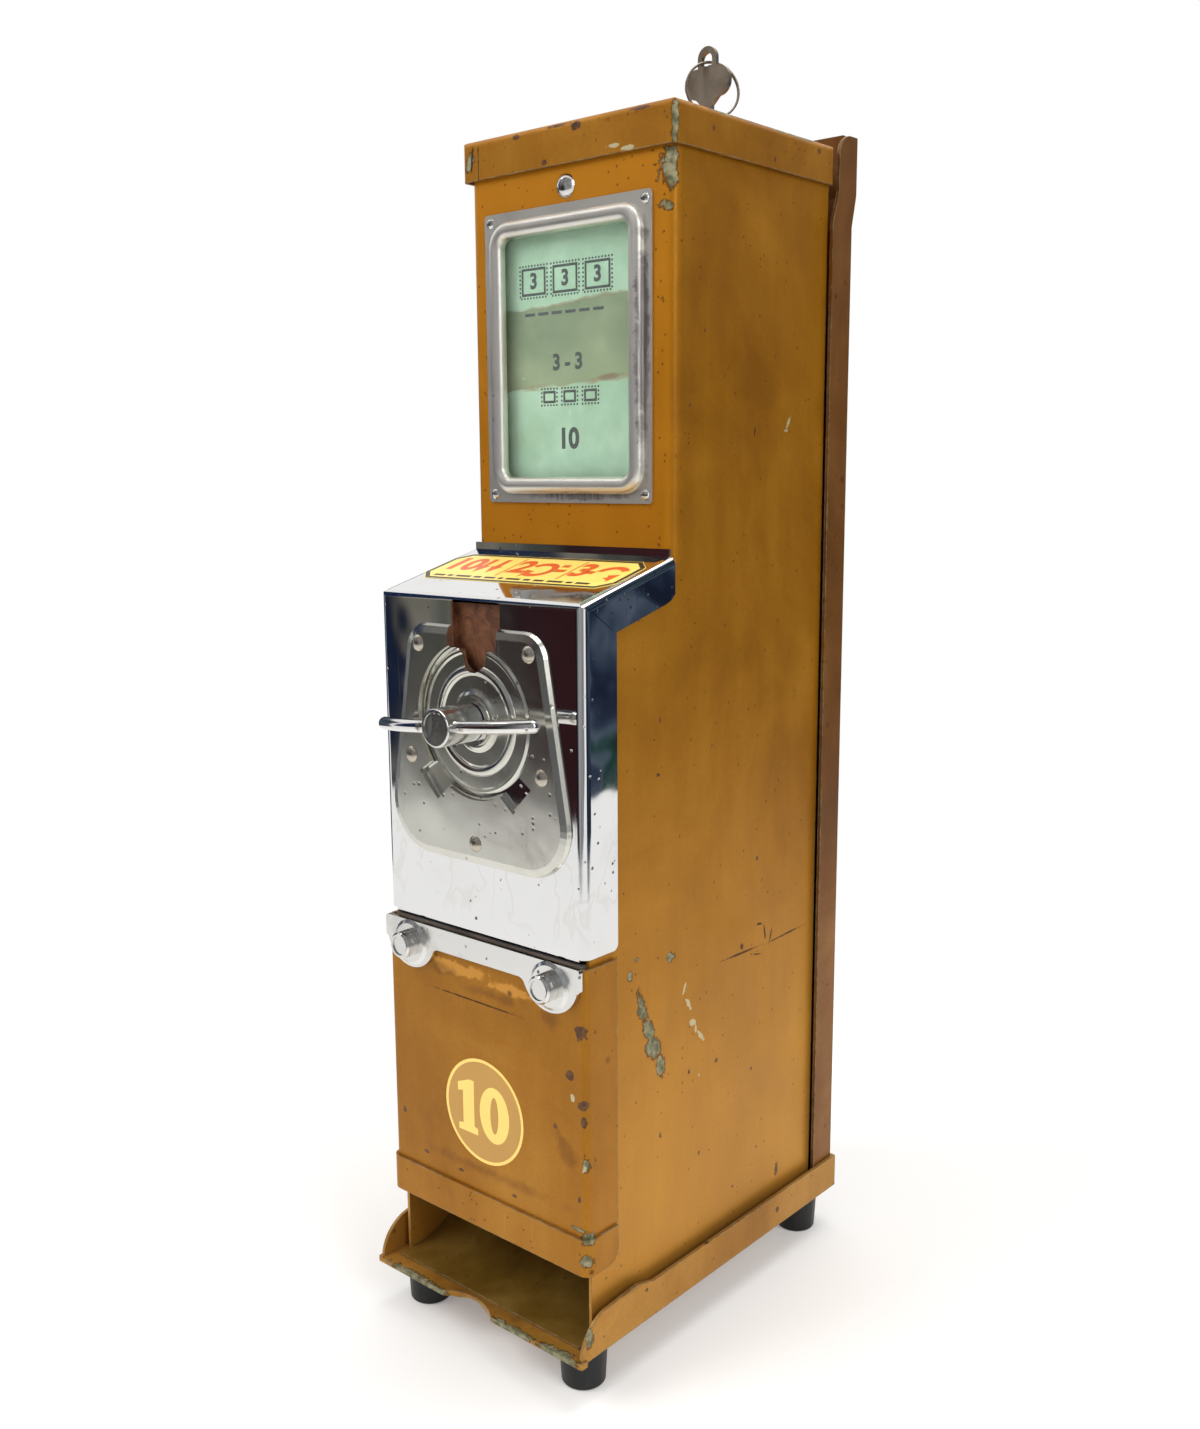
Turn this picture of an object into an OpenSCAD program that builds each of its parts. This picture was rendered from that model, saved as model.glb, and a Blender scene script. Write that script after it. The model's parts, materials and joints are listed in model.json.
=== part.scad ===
// Stamp vending machine: a narrow painted steel cabinet on a base pan, with a
// lift-off locked lid, a chrome mechanism cover that carries the coin slot and
// the T handle, and an open delivery mouth at the foot.
// Millimetres, +Z up, the front faces -Y. In the modules y is counted from the
// front face of the mechanism cover, and placed() centres the whole in depth.

/* [Cabinet] */
// Outer width of the cabinet body
body_w = 89; // [87:0.5:91]
// Thickness of the body sheet
body_t = 1.2; // [1:0.1:1.4]
// Height of the body's top edge above the floor
body_top_z = 405.5; // [400:0.5:412]
// Distance of the upper front panel behind the mechanism cover's face
upper_front_y = 44.5; // [43:0.5:46]
// Distance of the body's back face behind the mechanism cover's face
body_back_y = 131.5; // [130:0.5:136]
// Radius of the upright corners beside the window
body_corner_r = 4.5; // [3:0.5:6]
// Width of the flanges that turn in along the body's foot
foot_flange_w = 9; // [7:0.5:11]
// Height of the delivery mouth's upper edge above the floor
mouth_top_z = 43; // [40:0.5:46]

/* [Lid] */
// Thickness of the lid sheet
lid_t = 1.2; // [1:0.1:1.4]
// Depth of the lid's rim
lid_rim_h = 13.1; // [11:0.1:15]
// Gap between the lid's rim and the body
lid_fit = 0.5; // [0.4:0.1:0.8]
// Radius of the lid's upright corners
lid_corner_r = 2.6; // [1.8:0.2:3.2]
// Rounding of the lid's top edges
lid_edge_r = 2.4; // [1.6:0.2:3]
// Diameter of the dome screw in the front panel under the lid
dome_screw_d = 7.8; // [6:0.2:9]
// Distance of the dome screw below the lid's rim
dome_screw_drop = 6.5; // [5.5:0.5:7]

/* [Lock] */
// Distance of the lock from the body's right side
lock_in = 14.5; // [13.5:0.5:18.5]
// Distance of the lock behind the mechanism cover's face
lock_y = 80.7; // [72:0.1:86]
// Diameter of the lock body
lock_d = 16; // [14:0.5:17]
// Length of the lock body below the lid
lock_len = 19; // [17:0.5:21]
// Diameter of the lock plug
plug_d = 11; // [10:0.5:12]
// Height of the lock's bezel above the lid
bezel_h = 0.8; // [0.6:0.1:1]
// Reach of the cam from the plug's axis
cam_reach = 11.2; // [10.8:0.1:11.6]
// Thickness of the cam
cam_t = 2; // [1.6:0.1:2.4]

/* [Key] */
// Thickness of the key
key_t = 1.6; // [1.4:0.1:1.8]
// Width of the key's bow
bow_w = 17.7; // [15:0.5:20]
// Height of the key's bow
bow_h = 9.2; // [8.5:0.1:10]
// Height of the bow's lower edge above the lid
bow_rise = 8.7; // [8:0.1:10]
// Width of the key's neck
neck_w = 4; // [3.4:0.2:4.2]
// Width of the key's blade
blade_w = 6.4; // [5:0.2:7]
// Length of the blade below the lid
blade_len = 14; // [12:0.5:15]
// Outer width of the key's loop
loop_w = 7.2; // [7:0.1:8]
// Width of the eye in the loop
eye_w = 4.2; // [4:0.1:4.6]
// Wire diameter of the key ring
ring_wire_d = 1.4; // [1.2:0.1:1.6]
// Diameter of the key ring along its wire
ring_d = 18; // [17.6:0.1:18.2]
// Angle of the ring's plane from the key's plane
ring_turn = 58; // [50:1:65]
// Lean of the ring, so that it hangs beside the key's neck
ring_lean = 12; // [11.5:0.5:14]

/* [Window] */
// Width of the window frame
frame_w = 72.8; // [70:0.2:75]
// Height of the window frame
frame_h = 95.8; // [90:0.2:100]
// Height of the frame's lower edge above the floor
frame_z = 286.3; // [285:0.1:290]
// Width of the frame's flat outer flange
frame_flange = 3; // [2.5:0.1:3.5]
// Width of the frame's raised roll
frame_roll_w = 5.7; // [5:0.1:6.5]
// Height of the roll in front of the panel
frame_roll_h = 2.6; // [2:0.1:3]
// Thickness of the frame's flange
frame_t = 0.8; // [0.6:0.1:1]
// Inner corner radius of the frame
frame_inner_r = 3; // [2:0.5:5]
// Thickness of the window glass
glass_t = 1.8; // [1.5:0.1:2]
// Diameter of the frame's screw heads
frame_screw_d = 3.4; // [3:0.2:3.8]

/* [Mechanism cover] */
// Thickness of the chromed cover sheet
cover_t = 0.9; // [0.8:0.1:1]
// Gap between the cover's skirts and the body
cover_fit = 0.15; // [0.1:0.05:0.3]
// Height of the cover's lower edge above the floor
cover_z = 148.2; // [147.5:0.1:149]
// Height of the bend between front and slope
bend_z = 257.8; // [256:0.1:259]
// Slope of the cover's top
slope_deg = 15.5; // [12:0.5:18]
// Depth of the side skirts
skirt_depth = 15.4; // [14:0.1:17]
// Depth of the skirts below the slope
slope_skirt = 13; // [11:0.5:14]
// Corner radius of the cover
cover_corner_r = 3; // [2.5:0.5:4]

/* [Coin slot] */
// Width of the slot's upper part
slot_w = 22; // [20:0.5:22.5]
// Width of the slot's tongue
tongue_w = 10.4; // [9:0.2:12]
// Height of the slot's shoulders above the shaft
slot_shoulder = 22.8; // [22:0.1:24]
// Height of the tongue's lower end above the shaft
tongue_low = 15.5; // [15:0.1:17]
// Diameter of the coin that the track takes
coin_d = 17.9; // [17:0.1:18.2]
// Thickness of the coin wheel
wheel_t = 1.8; // [1.6:0.1:2]
// Diameter of the coin wheel
wheel_d = 46; // [45:0.2:46.6]

/* [Shield plate] */
// Half width of the shield at its upper end
shield_top_x = 31.5; // [31:0.1:32]
// Half width of the shield at its lower end
shield_low_x = 40.3; // [39.5:0.1:41]
// Height of the shield's upper edge above the shaft
shield_up = 30; // [29.5:0.1:30.5]
// Depth of the shield's lower edge below the shaft
shield_down = 47.5; // [46:0.5:49]
// Corner radius at the shield's upper end
shield_top_r = 9; // [8:0.5:10]
// Corner radius at the shield's lower end
shield_low_r = 17.5; // [16:0.5:19]
// Height of the shield in front of the cover
shield_h = 2; // [1.8:0.1:2.2]
// Radius of the recess round the handle
recess_r = 24.8; // [24.5:0.1:25.5]
// Radius that the two lower ears of the recess reach
ear_r = 31.6; // [30:0.1:32]
// Diameter of the shield's dome rivets
rivet_d = 5.4; // [4.5:0.1:5.6]

/* [Handle] */
// Height of the handle shaft above the floor
shaft_z = 218.5; // [218:0.1:219]
// Diameter of the handle shaft
shaft_d = 8; // [7.5:0.1:8.2]
// Diameter of the handle barrel
barrel_d = 12.4; // [12:0.1:13]
// Distance of the barrel's end in front of the cover
barrel_reach = 18.5; // [18:0.1:20]
// Gap behind the barrel
barrel_gap = 3.5; // [3.4:0.1:4]
// Diameter of the cross bar
bar_d = 4.2; // [4:0.1:4.4]
// Distance from the middle of the bar to its tips
bar_half = 36; // [33:0.5:38]
// Distance that each tip is swept back
bar_sweep = 5; // [4:0.5:6]
// Half length of the straight middle of the bar
bar_straight = 8; // [7:0.5:9]
// Lean of the bar at rest, with the right tip up
bar_lean = 5.5; // [0:0.5:8]
// Radial clearance of shafts in their bores
run_fit = 0.06; // [0.04:0.01:0.09]

/* [Drive] */
// Turn of the handle from rest to its stop
turn_deg = 100; // [96:1:104]
// Radius of the crank pin
crank_r = 16; // [15:0.2:16.6]
// Diameter of the drive pins
pin_d = 5; // [4.6:0.1:5.2]
// Swing of the bell crank to each side of its middle
bell_half_deg = 27; // [26:0.5:28]
// Height of the bell crank's stud above the floor
bell_z = 216; // [215.5:0.1:217]
// Distance of the bell crank's stud behind the cover's face
bell_y = 54; // [53:0.5:55]
// Height of the bell crank's stud above the pusher pin
bell_drop = 48; // [47:0.5:48.5]
// Thickness of the drive plates
drive_t = 2; // [1.8:0.1:2.2]
// Distance of the mechanism plate behind the cover's face
plate_y = 16; // [15.5:0.1:16.5]

/* [Stock] */
// Gap between the column guides and the side walls
column_gap = 9.1; // [8.6:0.1:9.6]
// Depth between the column guides' flanges
column_d = 49; // [48:0.5:50]
// Height of the stock shelf's upper face above the floor
shelf_z = 151.2; // [150.6:0.1:151.6]
// Height of the column guides' upper ends above the floor
guide_top_z = 375; // [368:1:378]
// Height of the follower weight
follower_h = 22; // [18:1:26]
// Travel of the follower weight up the column
follower_rise = 190; // [180:1:192]

/* [Cash] */
// Height of the coin box
box_h = 90; // [80:1:91]
// Gap between the coin box and each side wall
box_side_gap = 1.3; // [1.3:0.1:2]
// Depth of the coin box
box_d = 76; // [70:1:78]
// Sheet thickness of the coin box and the chutes
tray_t = 1; // [0.8:0.1:1.1]

/* [Lower cover] */
// Thickness of the lower cover's sheet
lower_t = 1.1; // [1:0.1:1.2]
// Gap between the lower cover and the body
lower_fit = 0.3; // [0.2:0.05:0.4]
// Distance of the lower cover in front of the mechanism cover's face
lower_proud = 0.7; // [0.5:0.1:0.9]
// Depth of the lower cover's side returns
lower_return = 15.2; // [14:0.1:17]
// Height of the band round the cover's foot
band_h = 12.6; // [11:0.2:14]
// Thickness of the band
band_t = 1; // [0.8:0.1:1]
// Distance of the retainer bar's ends inside the lower cover's sides
retainer_in = 0.9; // [0.5:0.1:1.9]
// Height of the retainer bar between its lobes
retainer_h = 7.8; // [7:0.1:9]
// Radius of the retainer's lobes
lobe_r = 12; // [11:0.5:12.5]
// Distance of the nuts inside the retainer bar's ends
nut_in = 12.6; // [12:0.1:14]
// Outer diameter of the barrel nuts
nut_d = 9.2; // [8.5:0.1:10]
// Length of the barrel nuts
nut_len = 4.6; // [4:0.1:5.5]
// Diameter of the cover studs
stud_d = 6.4; // [6:0.1:6.6]

/* [Base] */
// Height of the rubber feet
foot_h = 16; // [14:0.5:18]
// Diameter of the feet at the pan
foot_d = 16.4; // [15:0.2:18]
// Distance of the feet inside the body's sides
foot_in = 7.2; // [6:0.1:9.5]
// Distance of the front feet behind the mechanism cover's face
front_foot_y = 6.5; // [5:0.5:8]
// Distance of the rear feet behind the mechanism cover's face
rear_foot_y = 134; // [133:0.5:135]
// Thickness of the pan sheet
pan_t = 1.2; // [1:0.1:1.4]
// Gap between the pan's flanges and the back channel
pan_gap = 0.25; // [0.15:0.05:0.8]
// Height of the pan's flange
pan_flange_h = 12.6; // [11:0.2:14]
// Reach of the hemmed lip in front of the mechanism cover's face
lip_reach = 8.3; // [7.5:0.1:9]
// Reach of the lip beyond the pan's sides
lip_side = 0.75; // [0.4:0.05:2]
// Width of the finger notch in the lip
notch_w = 25; // [18:1:28]
// Depth of the finger notch
notch_d = 4.7; // [3.5:0.1:5.5]
// Distance of the finger notch to the left of the middle
notch_left = 3.5; // [0:0.5:6]
// Distance of the ramp's front edge in front of the mechanism cover's face
ramp_reach = 2.4; // [1:0.1:3]
// Radius of the ramp's hollow curve
ramp_r = 30; // [24:1:34]
// Slope of the ramp behind its curve
ramp_deg = 38; // [34:1:40]
// Front face of the wall behind the delivery bay
bay_back_y = 46; // [46:0.1:46.2]

/* [Back channel] */
// Gap between the body's sides and the back channel's flanges
channel_gap = 1.3; // [1.2:0.1:1.5]
// Thickness of the channel sheet
channel_t = 1.2; // [1:0.1:1.4]
// Front edge of the channel's flanges
channel_front_y = 131; // [130.5:0.1:132]
// Back face of the channel below its joggle
channel_back_y = 143.4; // [143:0.1:143.6]
// Depth of the joggle that clears the lid
joggle = 2.6; // [2.4:0.1:3]
// Height at which the joggle starts
joggle_z = 381; // [378:1:384]
// Height of the channel's back plate above the lid's top
channel_rise = 6.1; // [5:0.1:8]
// Radius of the flanges' upper front corners
channel_corner_r = 7; // [5:0.5:8]

/* [Hidden] */
$fn = 48;

// Colours as the photograph shows them
paint = [0.66, 0.44, 0.17];
brown_paint = [0.48, 0.33, 0.2];
chrome = [0.78, 0.78, 0.78];
nickel = [0.6, 0.58, 0.54];
zinc = [0.62, 0.63, 0.64];
brass = [0.72, 0.58, 0.3];
rubber = [0.06, 0.06, 0.06];
rust_brown = [0.33, 0.2, 0.12];
mint = [0.6, 0.8, 0.7];

// Clearances that several pieces share
seat_gap = 0.3;
touch_gap = 0.05;
cut = 1;

// Body
body_x = body_w / 2;
wall_x = body_x - body_t;
pan_floor_z = foot_h + pan_t;
body_mid_y = (upper_front_y + body_back_y) / 2;
bottom_flange_front = 50;

// Mechanism cover
cover_x = body_x + cover_fit + cover_t;
slope_rise = tan(slope_deg);
cover_back_y = upper_front_y - seat_gap;
bend_r = 2.5;
bend_tangent = bend_r * tan((90 - slope_deg) / 2);
slope_strip_h = 2.2;
cover_lip_d = 4.5;
side_front_y = cover_t + 0.6 * cover_corner_r;
side_top_drop = cover_t / cos(slope_deg) + 0.65 * cover_corner_r;

// Lid
lid_front_y = upper_front_y - lid_fit - lid_t;
lid_back_y = body_back_y + lid_fit + lid_t;
lid_x = body_x + lid_fit + lid_t;
lid_in_r = min(lid_corner_r - lid_t, 3.2 * lid_fit);
lid_in_edge_r = min(lid_edge_r - lid_t, 1.1);
lid_under_z = body_top_z + seat_gap;
lid_top_z = lid_under_z + lid_t;
lid_rim_z = lid_top_z - lid_rim_h;
dome_screw_z = lid_rim_z - dome_screw_drop;

// Lock and key
lock_x = body_x - lock_in;
lock_low_z = lid_under_z - lock_len;
cam_gap = 1.6;
cam_top_z = lock_low_z - cam_gap;
plug_r = plug_d / 2;
bow_z = lid_top_z + bow_rise;
loop_z = bow_z + bow_h - 1;
eye_low_z = bow_z + bow_h + 0.5;
eye_mid_z = eye_low_z + eye_w / 2 - 0.2;
ring_r = ring_d / 2;
ring_top_z = eye_low_z + ring_wire_d / 2 + 0.6;

// Window
frame_x = frame_w / 2;
frame_top_z = frame_z + frame_h;
frame_edge = frame_flange + frame_roll_w;
frame_screw_in = 2.8;
panel_back_y = upper_front_y + body_t;
glass_x = frame_x - 3.5;
glass_low_z = frame_z + 3.5;
glass_top_z = frame_top_z - 3.5;
card_t = 0.5;
card_y = panel_back_y + touch_gap + glass_t + touch_gap;
retainer_plate_t = 0.8;

// Coin slot and track
coin_gap = 2.4;
track_y = cover_t + coin_gap;
track_t = 1;
wheel_gap = (coin_gap - wheel_t) / 2;
wheel_y = cover_t + wheel_gap;
notch_r = coin_d / 2 + 0.3;
notch_mid = wheel_d / 2 - notch_r + 1.4;
track_x = 24.5;
track_top = 37;
track_low = 24.5;

// Shaft
collar_r = 8;
collar_y = barrel_gap - 0.4;
sleeve_r = 6;
bar_y = -barrel_reach + 4;
shaft_front_y = bar_y + bar_d / 2 + 1;
bush_bore_r = shaft_d / 2 + run_fit;
press_gap = 0.03;

// Drive
crank_y = plate_y + drive_t + 0.8;
crank_t = 3;
yoke_y = crank_y + crank_t + 1.6;
pin_end_y = yoke_y + drive_t + 1.5;
half_turn = turn_deg / 2;
lift_half = crank_r * sin(half_turn);
bell_a = lift_half / tan(bell_half_deg);
push_half = bell_drop * tan(bell_half_deg);
push_travel = 2 * push_half;
yoke_pin_y = bell_y - bell_a;
yoke_pin_z = bell_z - lift_half;
yoke_slot_z = shaft_z - lift_half;
pusher_pin_y = bell_y + push_half;
pusher_pin_z = bell_z - bell_drop;
slot_play = 0.75;
bell_a_play = 0.6;
bell_b_play = 0.85;
guide_t = 1.2;
guide_x = wall_x - column_gap - guide_t;
bell_in_x = guide_x + guide_t + 2.4;
bell_t = 2.5;
stud_z = shaft_z - 2.5;
stud_1_x = 13;
stud_2_x = 26;
plate_x = guide_x;
plate_r = 4;
post_in = 3.2;
post_up = 28;
tab_x = 20;
tab_post_x = 14;
tab_post_down = 44;

// Stock column
column_front_y = 50.5;
column_back_y = column_front_y + column_d + 2 * guide_t;
guide_low_z = shelf_z + 2.8;
pusher_t = 1.2;
pusher_z = shelf_z + 0.4;
pusher_front_y = column_back_y - guide_t + 0.7;
pusher_arm_x = guide_x + guide_t + 0.4;
pusher_depth = 17;
shelf_t = 1.2;
follower_pin_d = 4;
follower_z = shelf_z + 2.6;
follower_pin_z = follower_z + 11;
column_mid_y = column_front_y + guide_t + column_d / 2;

// Cash
box_z = 50;
box_front_y = 50;
box_x = wall_x - box_side_gap;
chute_in_x = pusher_arm_x + 1.9;
chute_turn_z = 172;
chute_end_y = 62;
chute_end_z = shelf_z - 3;

// Lower cover
lower_x = body_x + lower_fit + lower_t;
lower_z = mouth_top_z + 1.2;
lower_back = lower_return - lower_proud;
band_x = lower_x + band_t;
band_front_y = -lower_proud - band_t;
bar_t = 1.5;
bar_back_y = -lower_proud - seat_gap;
bar_front_y = bar_back_y - bar_t;
bar_top_z = cover_z - 2.3;
lower_top_z = bar_top_z - 0.6;
retainer_x = lower_x - retainer_in;
nut_x = retainer_x - nut_in;
bar_low_z = bar_top_z - retainer_h;
nut_z = bar_low_z;
lobe_z = bar_top_z - 4.5;
lobe_fillet = 3;
seat_h = 0.8;
seat_r = 8;
nut_back_y = bar_front_y - seat_h - touch_gap;
bracket_y = 0.7;
bracket_t = 1.5;

// Back channel and base
channel_x = body_x + channel_gap + channel_t;
pan_x = channel_x + pan_gap + pan_t;
pan_back_y = channel_back_y + 0.2 + pan_t;
foot_x = body_x - foot_in;
floor_screw_y = [bottom_flange_front + 12, body_back_y - 13.5];
lip_x = pan_x + lip_side;
hem_t = 2;
hem_d = 4.6;
wing_r = 14.2;
wing_y = wing_r - 6.8;
channel_top_z = lid_top_z + channel_rise;
joggle_h = 11;
spacer_x = body_x - 14.5;
spacer_low_z = 60;
spacer_high_z = 350;

// The whole in depth, from the handle's end to the channel's back
whole_back_y = channel_back_y + joggle;
depth_mid = (whole_back_y - barrel_reach) / 2;

// ---- helpers

module placed() {
    translate([0, -depth_mid, 0]) children();
}

module both_sides() {
    children();
    mirror([1, 0, 0]) children();
}

module block(x0, x1, y0, y1, z0, z1) {
    translate([x0, y0, z0]) cube([x1 - x0, y1 - y0, z1 - z0]);
}

// A shape drawn in y and z, drawn out across the machine
module side_prism(x0, x1) {
    translate([x0, 0, 0]) rotate([90, 0, 90]) linear_extrude(x1 - x0) children();
}

// A shape drawn in x and z, drawn out from front to back
module front_prism(y0, y1) {
    translate([0, y1, 0]) rotate([90, 0, 0]) linear_extrude(y1 - y0) children();
}

module plan_prism(z0, z1) {
    translate([0, 0, z0]) linear_extrude(z1 - z0) children();
}

module rod_x(x0, x1, y, z, r) {
    translate([x0, y, z]) rotate([0, 90, 0]) cylinder(h = x1 - x0, r = r);
}

module rod_y(x, y0, y1, z, r) {
    translate([x, y1, z]) rotate([90, 0, 0]) cylinder(h = y1 - y0, r = r);
}

module rod_z(x, y, z0, z1, r) {
    translate([x, y, z0]) cylinder(h = z1 - z0, r = r);
}

module rounded_rect(x0, x1, y0, y1, r) {
    translate([x0 + r, y0]) square([x1 - x0 - 2 * r, y1 - y0]);
    translate([x0, y0 + r]) square([x1 - x0, y1 - y0 - 2 * r]);
    for (x = [x0 + r, x1 - r], y = [y0 + r, y1 - r]) translate([x, y]) circle(r);
}

// A flat bar with round ends from the origin to a point on the x axis
module slot_shape(x0, x1, r) {
    translate([x0, -r]) square([x1 - x0, 2 * r]);
    for (x = [x0, x1]) translate([x, 0]) circle(r);
}

// A sheet box open below, with rounded upright corners and rounded top edges
module cap_mass(half_w, y0, y1, z0, z1, corner_r, edge_r) {
    intersection() {
        plan_prism(z0, z1) rounded_rect(-half_w, half_w, y0, y1, corner_r);
        side_prism(-half_w, half_w) rounded_rect(y0, y1, z0 - 2 * edge_r, z1, edge_r);
        front_prism(y0, y1) rounded_rect(-half_w, half_w, z0 - 2 * edge_r, z1, edge_r);
    }
}

// ---- cabinet

module window_hole() {
    rounded_rect(-frame_x + frame_edge - 1.5, frame_x - frame_edge + 1.5,
        frame_z + frame_edge - 1.5, frame_top_z - frame_edge + 1.5, frame_inner_r);
}

module frame_screw_places() {
    for (x = [-1, 1] * (frame_x - frame_screw_in),
         z = [frame_z + frame_screw_in, frame_top_z - frame_screw_in])
        translate([x, 0, z]) children();
}

module spacer_places() {
    for (x = [-spacer_x, spacer_x], z = [spacer_low_z, spacer_high_z])
        translate([x, 0, z]) children();
}

function slope_z(y) = bend_z + slope_rise * y;

module side_panel_outline() {
    polygon([[side_front_y, pan_floor_z], [body_back_y, pan_floor_z],
        [body_back_y, body_top_z], [upper_front_y + body_corner_r, body_top_z],
        [upper_front_y + body_corner_r, slope_z(cover_back_y) - side_top_drop],
        [cover_back_y, slope_z(cover_back_y) - side_top_drop],
        [side_front_y, slope_z(side_front_y) - side_top_drop]]);
}

module body_shell() color(paint) placed() {
    upper_z = slope_z(cover_back_y) - side_top_drop - 6;
    difference() {
        union() {
            both_sides() side_prism(wall_x, body_x) side_panel_outline();
            plan_prism(upper_z, body_top_z) difference() {
                rounded_rect(-body_x, body_x, upper_front_y, body_back_y, body_corner_r);
                rounded_rect(-wall_x, wall_x, panel_back_y, body_back_y + 2 * body_corner_r,
                    body_corner_r - body_t);
                translate([-body_x - cut, body_mid_y]) square([body_w + 2 * cut, body_w]);
            }
            block(-wall_x, wall_x, body_back_y - body_t, body_back_y, pan_floor_z, body_top_z);
            both_sides() block(wall_x - foot_flange_w, wall_x, bottom_flange_front,
                body_back_y - body_t, pan_floor_z, pan_floor_z + body_t);
        }
        front_prism(upper_front_y - cut, panel_back_y + cut) window_hole();
        frame_screw_places() rod_y(0, upper_front_y - cut, panel_back_y + cut, 0,
            frame_screw_d / 4 + press_gap);
        rod_y(0, upper_front_y - cut, panel_back_y + cut, dome_screw_z, dome_screw_d / 4 + press_gap);
        spacer_places() rod_y(0, body_back_y - body_t - cut, body_back_y + cut, 0, 2.6);
        floor_screw_places() cylinder(h = pan_floor_z + body_t + cut, r = 2.1);
    }
}

module floor_screw_places() {
    for (x = [-1, 1] * (wall_x - foot_flange_w / 2), y = floor_screw_y)
        translate([x, y, 0]) children();
}

module floor_screws() color(zinc) placed() {
    floor_screw_places() {
        translate([0, 0, foot_h - 2.5]) cylinder(h = 2.5 - touch_gap, r1 = 2.8, r2 = 3.8);
        translate([0, 0, foot_h - touch_gap - 0.2]) cylinder(h = pan_t + body_t + 3, r = 2);
        translate([0, 0, pan_floor_z + body_t + touch_gap]) cylinder(h = 2.4, r = 3.8, $fn = 6);
    }
}

module base_pan() color(paint) placed() {
    notch_r = (notch_w * notch_w / 4 + notch_d * notch_d) / (2 * notch_d);
    hem_low = pan_floor_z - hem_t;
    difference() {
        union() {
            block(-pan_x, pan_x, 0, pan_back_y, foot_h, pan_floor_z);
            block(-pan_x, pan_x, pan_back_y - pan_t, pan_back_y, foot_h, foot_h + pan_flange_h);
            both_sides() side_prism(pan_x - pan_t, pan_x) difference() {
                union() {
                    translate([wing_y, foot_h]) circle(wing_r);
                    polygon([[wing_y, foot_h], [pan_back_y, foot_h],
                        [pan_back_y, foot_h + pan_flange_h], [30, foot_h + pan_flange_h],
                        [22, foot_h + wing_r + 0.8], [wing_y, foot_h + wing_r]]);
                }
                translate([-2 * wing_r, foot_h - 2 * wing_r]) square([8 * wing_r, 2 * wing_r]);
            }
            intersection() {
                plan_prism(hem_low, pan_floor_z) difference() {
                    rounded_rect(-lip_x, lip_x, -lip_reach, wing_y, 1.5);
                    translate([-notch_left, notch_d - lip_reach - notch_r]) circle(notch_r);
                    both_sides() translate([pan_x, hem_d - 1 - lip_reach]) square([5, 30]);
                }
                side_prism(-lip_x, lip_x) union() {
                    translate([0.2 - lip_reach, foot_h]) square([lip_reach, pan_t]);
                    rounded_rect(-lip_reach, hem_d - lip_reach, hem_low, pan_floor_z, 0.9);
                }
            }
        }
        foot_places() rod_z(0, 0, foot_h - cut, pan_floor_z + cut, 2.1);
        floor_screw_places() rod_z(0, 0, foot_h - cut, pan_floor_z + cut, 2.1);
    }
}

module foot_places() {
    for (x = [-foot_x, foot_x], y = [front_foot_y, rear_foot_y]) translate([x, y, 0]) children();
}

module rubber_feet() color(rubber) placed() {
    r_top = foot_d / 2;
    r_low = r_top - 0.8;
    round_r = 1.2;
    foot_places() rotate_extrude() difference() {
        union() {
            polygon([[0, 0], [r_low - round_r, 0], [r_low, round_r], [r_top, foot_h], [0, foot_h]]);
            translate([r_low - round_r, round_r]) circle(round_r);
        }
        translate([-r_top, -cut]) square([r_top + 2.1, foot_h + 2 * cut]);
        translate([0, -cut]) square([4.3, 6 + cut]);
    }
}

module foot_screws() color(zinc) placed() {
    foot_places() {
        rod_z(0, 0, 3.2, 6 - touch_gap, 3.9);
        rod_z(0, 0, 5, pan_floor_z, 2.05);
    }
}

// ---- back channel

module channel_side_outline() {
    top_z = channel_top_z - 1.7;
    y0 = channel_front_y;
    y1 = channel_back_y;
    difference() {
        union() {
            polygon([[y0, pan_floor_z], [y1, pan_floor_z], [y1, joggle_z],
                [y1 + joggle, joggle_z + joggle_h], [y1 + joggle, top_z],
                [y0 + joggle + 1 + channel_corner_r, top_z],
                [y0 + joggle + 1, top_z - channel_corner_r],
                [y0 + joggle + 1, joggle_z + joggle_h], [y0, joggle_z]]);
            translate([y0 + joggle + 1 + channel_corner_r, top_z - channel_corner_r])
                circle(channel_corner_r);
        }
        translate([y1 + joggle, joggle_z]) square([20, channel_top_z]);
    }
}

module back_channel() color(brown_paint) placed() {
    clip_x = 3.3;
    difference() {
        union() {
            both_sides() side_prism(channel_x - channel_t, channel_x) channel_side_outline();
            side_prism(-channel_x, channel_x) polygon([[channel_back_y - channel_t, pan_floor_z],
                [channel_back_y, pan_floor_z], [channel_back_y, joggle_z],
                [channel_back_y + joggle, joggle_z + joggle_h],
                [channel_back_y + joggle, channel_top_z],
                [channel_back_y + joggle - channel_t, channel_top_z],
                [channel_back_y + joggle - channel_t, joggle_z + joggle_h],
                [channel_back_y - channel_t, joggle_z]]);
        }
        both_sides() front_prism(channel_front_y, whole_back_y + cut)
            polygon([[channel_x - 3 - clip_x, channel_top_z + cut],
                [channel_x - 3, channel_top_z - 1.7], [channel_x + cut, channel_top_z - 1.7],
                [channel_x + cut, channel_top_z + cut]]);
        spacer_places() rod_y(0, channel_back_y - channel_t - cut, channel_back_y + cut, 0, 2.6);
    }
}

module channel_spacers() color(zinc) placed() {
    spacer_places() difference() {
        rod_y(0, body_back_y + touch_gap, channel_back_y - channel_t - touch_gap, 0, 5);
        rod_y(0, body_back_y - cut, channel_back_y + cut, 0, 2.6);
    }
}

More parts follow.
